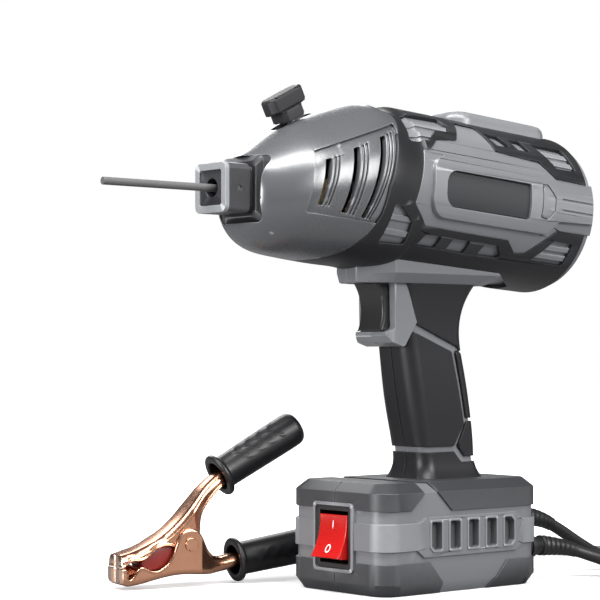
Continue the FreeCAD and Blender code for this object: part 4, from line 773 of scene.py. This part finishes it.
def lever(name, pairs, width, close_from, corner=5.0, rows=200):
    """A U-shaped channel between a back line and a rim line.

    At each row the section runs up one cheek, round a corner, over the back
    and down the other cheek; the rim stands out a little as a rolled edge.
    width gives (share of the length, half width) pairs. Past close_from, a
    share of the length, the section closes into the oval tube of the arm."""
    line = smooth_line([back + rim for back, rim in pairs], rows)
    back, rim = even(line[:, :2], 7.0), even(line[:, 2:], 2.0)
    share = np.linspace(0, 1, rows)
    half = np.interp(share, [s for s, _ in width], [w for _, w in width])
    deep = np.linalg.norm(rim - back, axis=1)
    bend = np.minimum(np.minimum(corner, half * 0.9), deep * 0.7)
    arc = np.linspace(0, math.pi / 2, CORNER_STEPS)
    down = np.linspace(1, 0, CHEEK_STEPS)[:-1]
    cheek_depth = bend[:, None] + (deep - bend)[:, None] * down
    from_rim = deep[:, None] - cheek_depth
    rolled = BEAD_HEIGHT * np.exp(-(((from_rim - BEAD_WIDTH) / BEAD_WIDTH) ** 2))
    cheek_side = half[:, None] + rolled
    arc_depth = bend[:, None] * (1 - np.sin(arc))
    arc_side = half[:, None] - bend[:, None] * (1 - np.cos(arc))
    depth = np.concatenate([cheek_depth, arc_depth], 1)
    side = np.concatenate([cheek_side, arc_side], 1)
    closed = np.clip((share - close_from) / CLOSE_OVER, 0, 1)[:, None]
    closed = closed * closed * (3 - 2 * closed)
    oval = half[:, None] * np.sqrt(np.clip(1 - (2 * depth / deep[:, None] - 1) ** 2, 0, 1))
    side = side * (1 - closed) + oval * closed
    depth = np.concatenate([depth, depth[:, ::-1]], 1)
    side = np.concatenate([-side, side[:, ::-1]], 1)
    front_depth, front_side = depth[:1], side[:1] * 0.02
    depth = np.concatenate([front_depth, depth])
    side = np.concatenate([front_side, side])
    back = np.concatenate([back[:1], back])
    way = np.concatenate([(rim - back[1:])[:1], rim - back[1:]])
    way /= np.linalg.norm(way, axis=1)[:, None]
    flat = back[:, None] + depth[..., None] * way[:, None]
    points = from_clamp(np.stack([flat[..., 0], side, flat[..., 1]], -1))
    columns = depth.shape[1]
    made = mesh_object(name, points.reshape(-1, 3), grid_faces(rows + 1, columns))
    inner = back + way * INSIDE
    face_out(made, from_clamp(np.stack([inner[:, 0], np.zeros(len(inner)), inner[:, 1]], -1)), columns)
    made.data.materials.append(COPPER)
    thick = made.modifiers.new("sheet", "SOLIDIFY")
    thick.thickness = SHEET
    thick.offset = -1.0
    return made


UPPER_PAIRS = [
    ((-8.5, 21.5), (-8.5, 13.7)),
    ((-6.0, 22.1), (-6.4, 14.6)),
    ((-2.0, 23.2), (-2.0, 17.6)),
    ((3.0, 24.6), (4.0, 17.6)),
    ((9.0, 27.0), (8.8, 19.6)),
    ((15.0, 29.9), (15.0, 24.8)),
    ((20.0, 32.9), (21.0, 26.2)),
    ((25.0, 36.3), (27.0, 25.0)),
    ((29.0, 39.6), (31.0, 21.5)),
    ((33.0, 43.4), (36.0, 19.6)),
    ((37.0, 47.7), (41.4, 21.8)),
    ((41.0, 52.2), (43.8, 31.0)),
    ((45.5, 57.6), (45.2, 43.5)),
    ((50.0, 62.8), (51.0, 52.4)),
    ((56.0, 67.8), (59.6, 60.4)),
    ((66.0, 74.2), (70.4, 66.9)),
    ((80.0, 82.2), (84.6, 74.9)),
    ((92.0, 88.8), (96.6, 81.5)),
]
LOWER_PAIRS = [
    ((-8.5, 4.2), (-8.5, 13.3)),
    ((-7.6, 3.5), (-6.9, 13.2)),
    ((-6.5, 2.8), (-6.3, 8.6)),
    ((-5.0, 2.3), (-4.4, 6.8)),
    ((-2.0, 2.6), (-1.2, 9.0)),
    ((3.0, 3.3), (2.8, 14.2)),
    ((6.0, 3.8), (6.8, 13.3)),
    ((11.0, 5.0), (11.5, 11.4)),
    ((17.0, 6.3), (17.0, 12.4)),
    ((22.0, 7.1), (22.5, 16.5)),
    ((26.0, 7.6), (25.8, 23.0)),
    ((29.0, 7.9), (28.2, 29.6)),
    ((33.0, 8.0), (32.2, 34.8)),
    ((37.0, 7.9), (37.2, 36.4)),
    ((41.5, 7.6), (42.0, 34.6)),
    ((46.0, 7.2), (45.8, 29.0)),
    ((50.0, 6.9), (49.8, 22.0)),
    ((55.0, 6.8), (55.0, 18.2)),
    ((62.0, 7.2), (62.0, 17.4)),
    ((70.0, 9.0), (69.0, 18.8)),
    ((84.0, 11.0), (83.0, 20.8)),
    ((100.0, 13.2), (99.0, 23.0)),
]
UPPER_WIDTH = [(0, 10.7), (0.62, 10.7), (0.86, 7.0), (1, 6.6)]
LOWER_WIDTH = [(0, 12.5), (0.70, 12.5), (0.84, 7.4), (1, 6.6)]
upper = lever("clamp_upper_sheet", UPPER_PAIRS, UPPER_WIDTH, 0.82)
lower = lever("clamp_lower_sheet", LOWER_PAIRS, LOWER_WIDTH, 0.78, corner=3.5)
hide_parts("clamp_upper_lever")
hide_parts("clamp_lower_lever")
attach(upper, "clamp_lever")
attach(lower, "gun")
print("lever faces", len(upper.data.polygons), len(lower.data.polygons))

# %% [markdown]
# ## Dark red pad
# A dark red crowned pad fills the oval hole between the levers' cheeks; its
# dark red is painted shade, standing in for the copper inside the other lever
# seen in shade through the hole. It is a lens: its half thickness falls from
# the middle to a rounded rim.

# %% Red pad of painted shade
LENS_ROWS = 14
LENS_AROUND = 48


def lens(name, centre, long, tall, tilt, half, crown):
    """A closed oval pad: radius and angle on a grid, near face then far face."""
    share = np.concatenate([np.linspace(0.001, 1, LENS_ROWS), np.linspace(1, 0.001, LENS_ROWS)])
    side = np.concatenate([-np.ones(LENS_ROWS), np.ones(LENS_ROWS)])
    angle = np.linspace(0, 2 * math.pi, LENS_AROUND, endpoint=False)
    a = share[:, None] * long * np.cos(angle)
    b = share[:, None] * tall * np.sin(angle)
    turned = math.radians(tilt)
    x = centre[0] + a * math.cos(turned) - b * math.sin(turned)
    z = centre[1] + a * math.sin(turned) + b * math.cos(turned)
    y = (side * (half + crown * (1 - share**2)))[:, None] + 0 * a
    points = from_clamp(np.stack([x, y, z], -1)).reshape(-1, 3)
    made = mesh_object(name, points, grid_faces(2 * LENS_ROWS, LENS_AROUND, wrap=True))
    # the pad's dark red is painted shade
    made.data.materials.append(PAINTED_SHADE_RED)
    return made


# a dark red pad of painted shade in the clamp's oval hole
shade_pad = lens("clamp_shade_pad", (17.2, 19.2), 12.6, 6.6, 24.0, 8.4, 0.7)
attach(shade_pad, "gun")

# %% [markdown]
# ## Handle sleeves
# Dipped vinyl: a collar, a slightly swelling body and a rounded end, turned
# about the arm. Raised chevrons on the back are part of the same surface.

# %% Sleeves
SLEEVE_PROFILE = [
    (24.0, 8.9),
    (4.0, 9.1),
    (0.6, 9.4),
    (0.0, 10.2),
    (0.0, 12.8),
    (0.6, 13.8),
    (1.8, 14.0),
    (3.0, 13.6),
    (3.7, 12.4),
    (4.6, 11.0),
    (7.0, 10.5),
    (24.0, 10.7),
    (46.0, 11.0),
    (58.0, 11.0),
    (61.8, 10.4),
    (63.6, 8.8),
    (64.0, 6.4),
    (64.0, 4.1),
]


SLEEVE_ROWS = 220
SLEEVE_AROUND = 128
BORE_ROWS = 70
CHEVRON_TURN = 0.75
CHEVRON_FROM = 15
CHEVRON_TO = 50
CHEVRON_PITCH = 9.0
CHEVRON_RISE = 0.4


def chevrons(along, angle):
    """0 to 1: raised V-shaped bars on the back, over a fifth of the turn."""
    away = np.abs((angle + math.pi) % (2 * math.pi) - math.pi)
    inside = (away < CHEVRON_TURN) & (along > CHEVRON_FROM) & (along < CHEVRON_TO)
    wave = ((along - CHEVRON_PITCH * away / CHEVRON_TURN) % CHEVRON_PITCH) / CHEVRON_PITCH
    return np.where(inside, np.clip(1.6 - 12 * np.abs(wave - 0.5), 0, 1), 0.0)


def sleeve(name, start, tilt, back_turn):
    """A revolved profile; chevrons lift it where its turn faces the back."""
    profile = smooth_line(SLEEVE_PROFILE, SLEEVE_ROWS)
    angle = np.linspace(0, 2 * math.pi, SLEEVE_AROUND, endpoint=False)
    along = profile[:, :1] + 0 * angle
    outside = (np.arange(SLEEVE_ROWS) > BORE_ROWS)[:, None]
    radius = profile[:, 1:] + CHEVRON_RISE * chevrons(along, angle - back_turn) * outside
    c, s = math.cos(math.radians(tilt)), math.sin(math.radians(tilt))
    up = radius * np.sin(angle)
    x = start[0] + along * c - up * s
    z = start[1] + along * s + up * c
    y = radius * np.cos(angle)
    points = from_clamp(np.stack([x, y, z], -1)).reshape(-1, 3)
    made = mesh_object(name, points, grid_faces(SLEEVE_ROWS, SLEEVE_AROUND, wrap=True))
    made.data.materials.append(SLEEVE)
    return made


upper_sleeve = sleeve("upper_sleeve", (61.2, 67.5), 28.7, 2.2)
lower_sleeve = sleeve("lower_sleeve", (72.0, 14.3), 8.0, 3.4)
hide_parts("clamp_sleeve_upper")
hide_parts("clamp_sleeve_lower")
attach(upper_sleeve, "clamp_lever")
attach(lower_sleeve, "gun")

# %% [markdown]
# ## Switch marks
# The generic on and off marks are printed on the rocker's hollow face, so each
# is a thin strip that follows the arc of that face.

# %% Marks on the rocker
FACE_POINTS = [(-68.8, 47.5), (-70.2, 34.0), (-76.4, 22.0)]


def circle_through(points):
    """Centre and radius of the circle through three points."""
    (ax, ay), (bx, by), (cx, cy) = points
    matrix = np.array([[bx - ax, by - ay], [cx - ax, cy - ay]])
    squares = 0.5 * np.array([bx**2 + by**2 - ax**2 - ay**2, cx**2 + cy**2 - ax**2 - ay**2])
    centre = np.linalg.solve(matrix, squares)
    return centre, float(np.hypot(*(centre - points[0])))


face_centre, face_radius = circle_through(FACE_POINTS)
face_side = math.copysign(1.0, FACE_POINTS[0][0] - face_centre[0])


def on_face(across, height, lift):
    """Points on the rocker's face, lifted towards the user."""
    drop = np.sqrt(face_radius**2 - (height - face_centre[1]) ** 2)
    return np.stack([face_centre[0] + face_side * drop - lift, across, height], -1) * MM


MARK_AROUND = 48
MARK_SECTION = 10
PRINT_LIFT = 0.12


def ring_mark(name, height, tall, wide, line):
    """A closed loop on the face: an oval band with a low rounded section."""
    angle = np.linspace(0, 2 * math.pi, MARK_AROUND, endpoint=False)
    section = np.linspace(0, 2 * math.pi, MARK_SECTION, endpoint=False)
    reach = line * np.cos(section)[None]
    across = (wide + reach) * np.cos(angle)[:, None]
    up = height + (tall + reach) * np.sin(angle)[:, None]
    lift = PRINT_LIFT * np.sin(section)[None] + 0 * across
    points = on_face(across, up, lift)
    i, j = np.meshgrid(np.arange(MARK_AROUND), np.arange(MARK_SECTION), indexing="ij")
    i2 = (i + 1) % MARK_AROUND
    j2 = (j + 1) % MARK_SECTION
    corners = [(i, j), (i2, j), (i2, j2), (i, j2)]
    faces = np.stack([a * MARK_SECTION + b for a, b in corners], -1).reshape(-1, 4)
    made = mesh_object(name, points.reshape(-1, 3), faces)
    made.data.materials.append(PRINT)
    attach(made, "rocker")
    return made


ring_mark("off_mark", 27.2, 2.1, 1.8, 0.38)
ring_mark("on_mark", 41.6, 2.3, 0.12, 0.3)
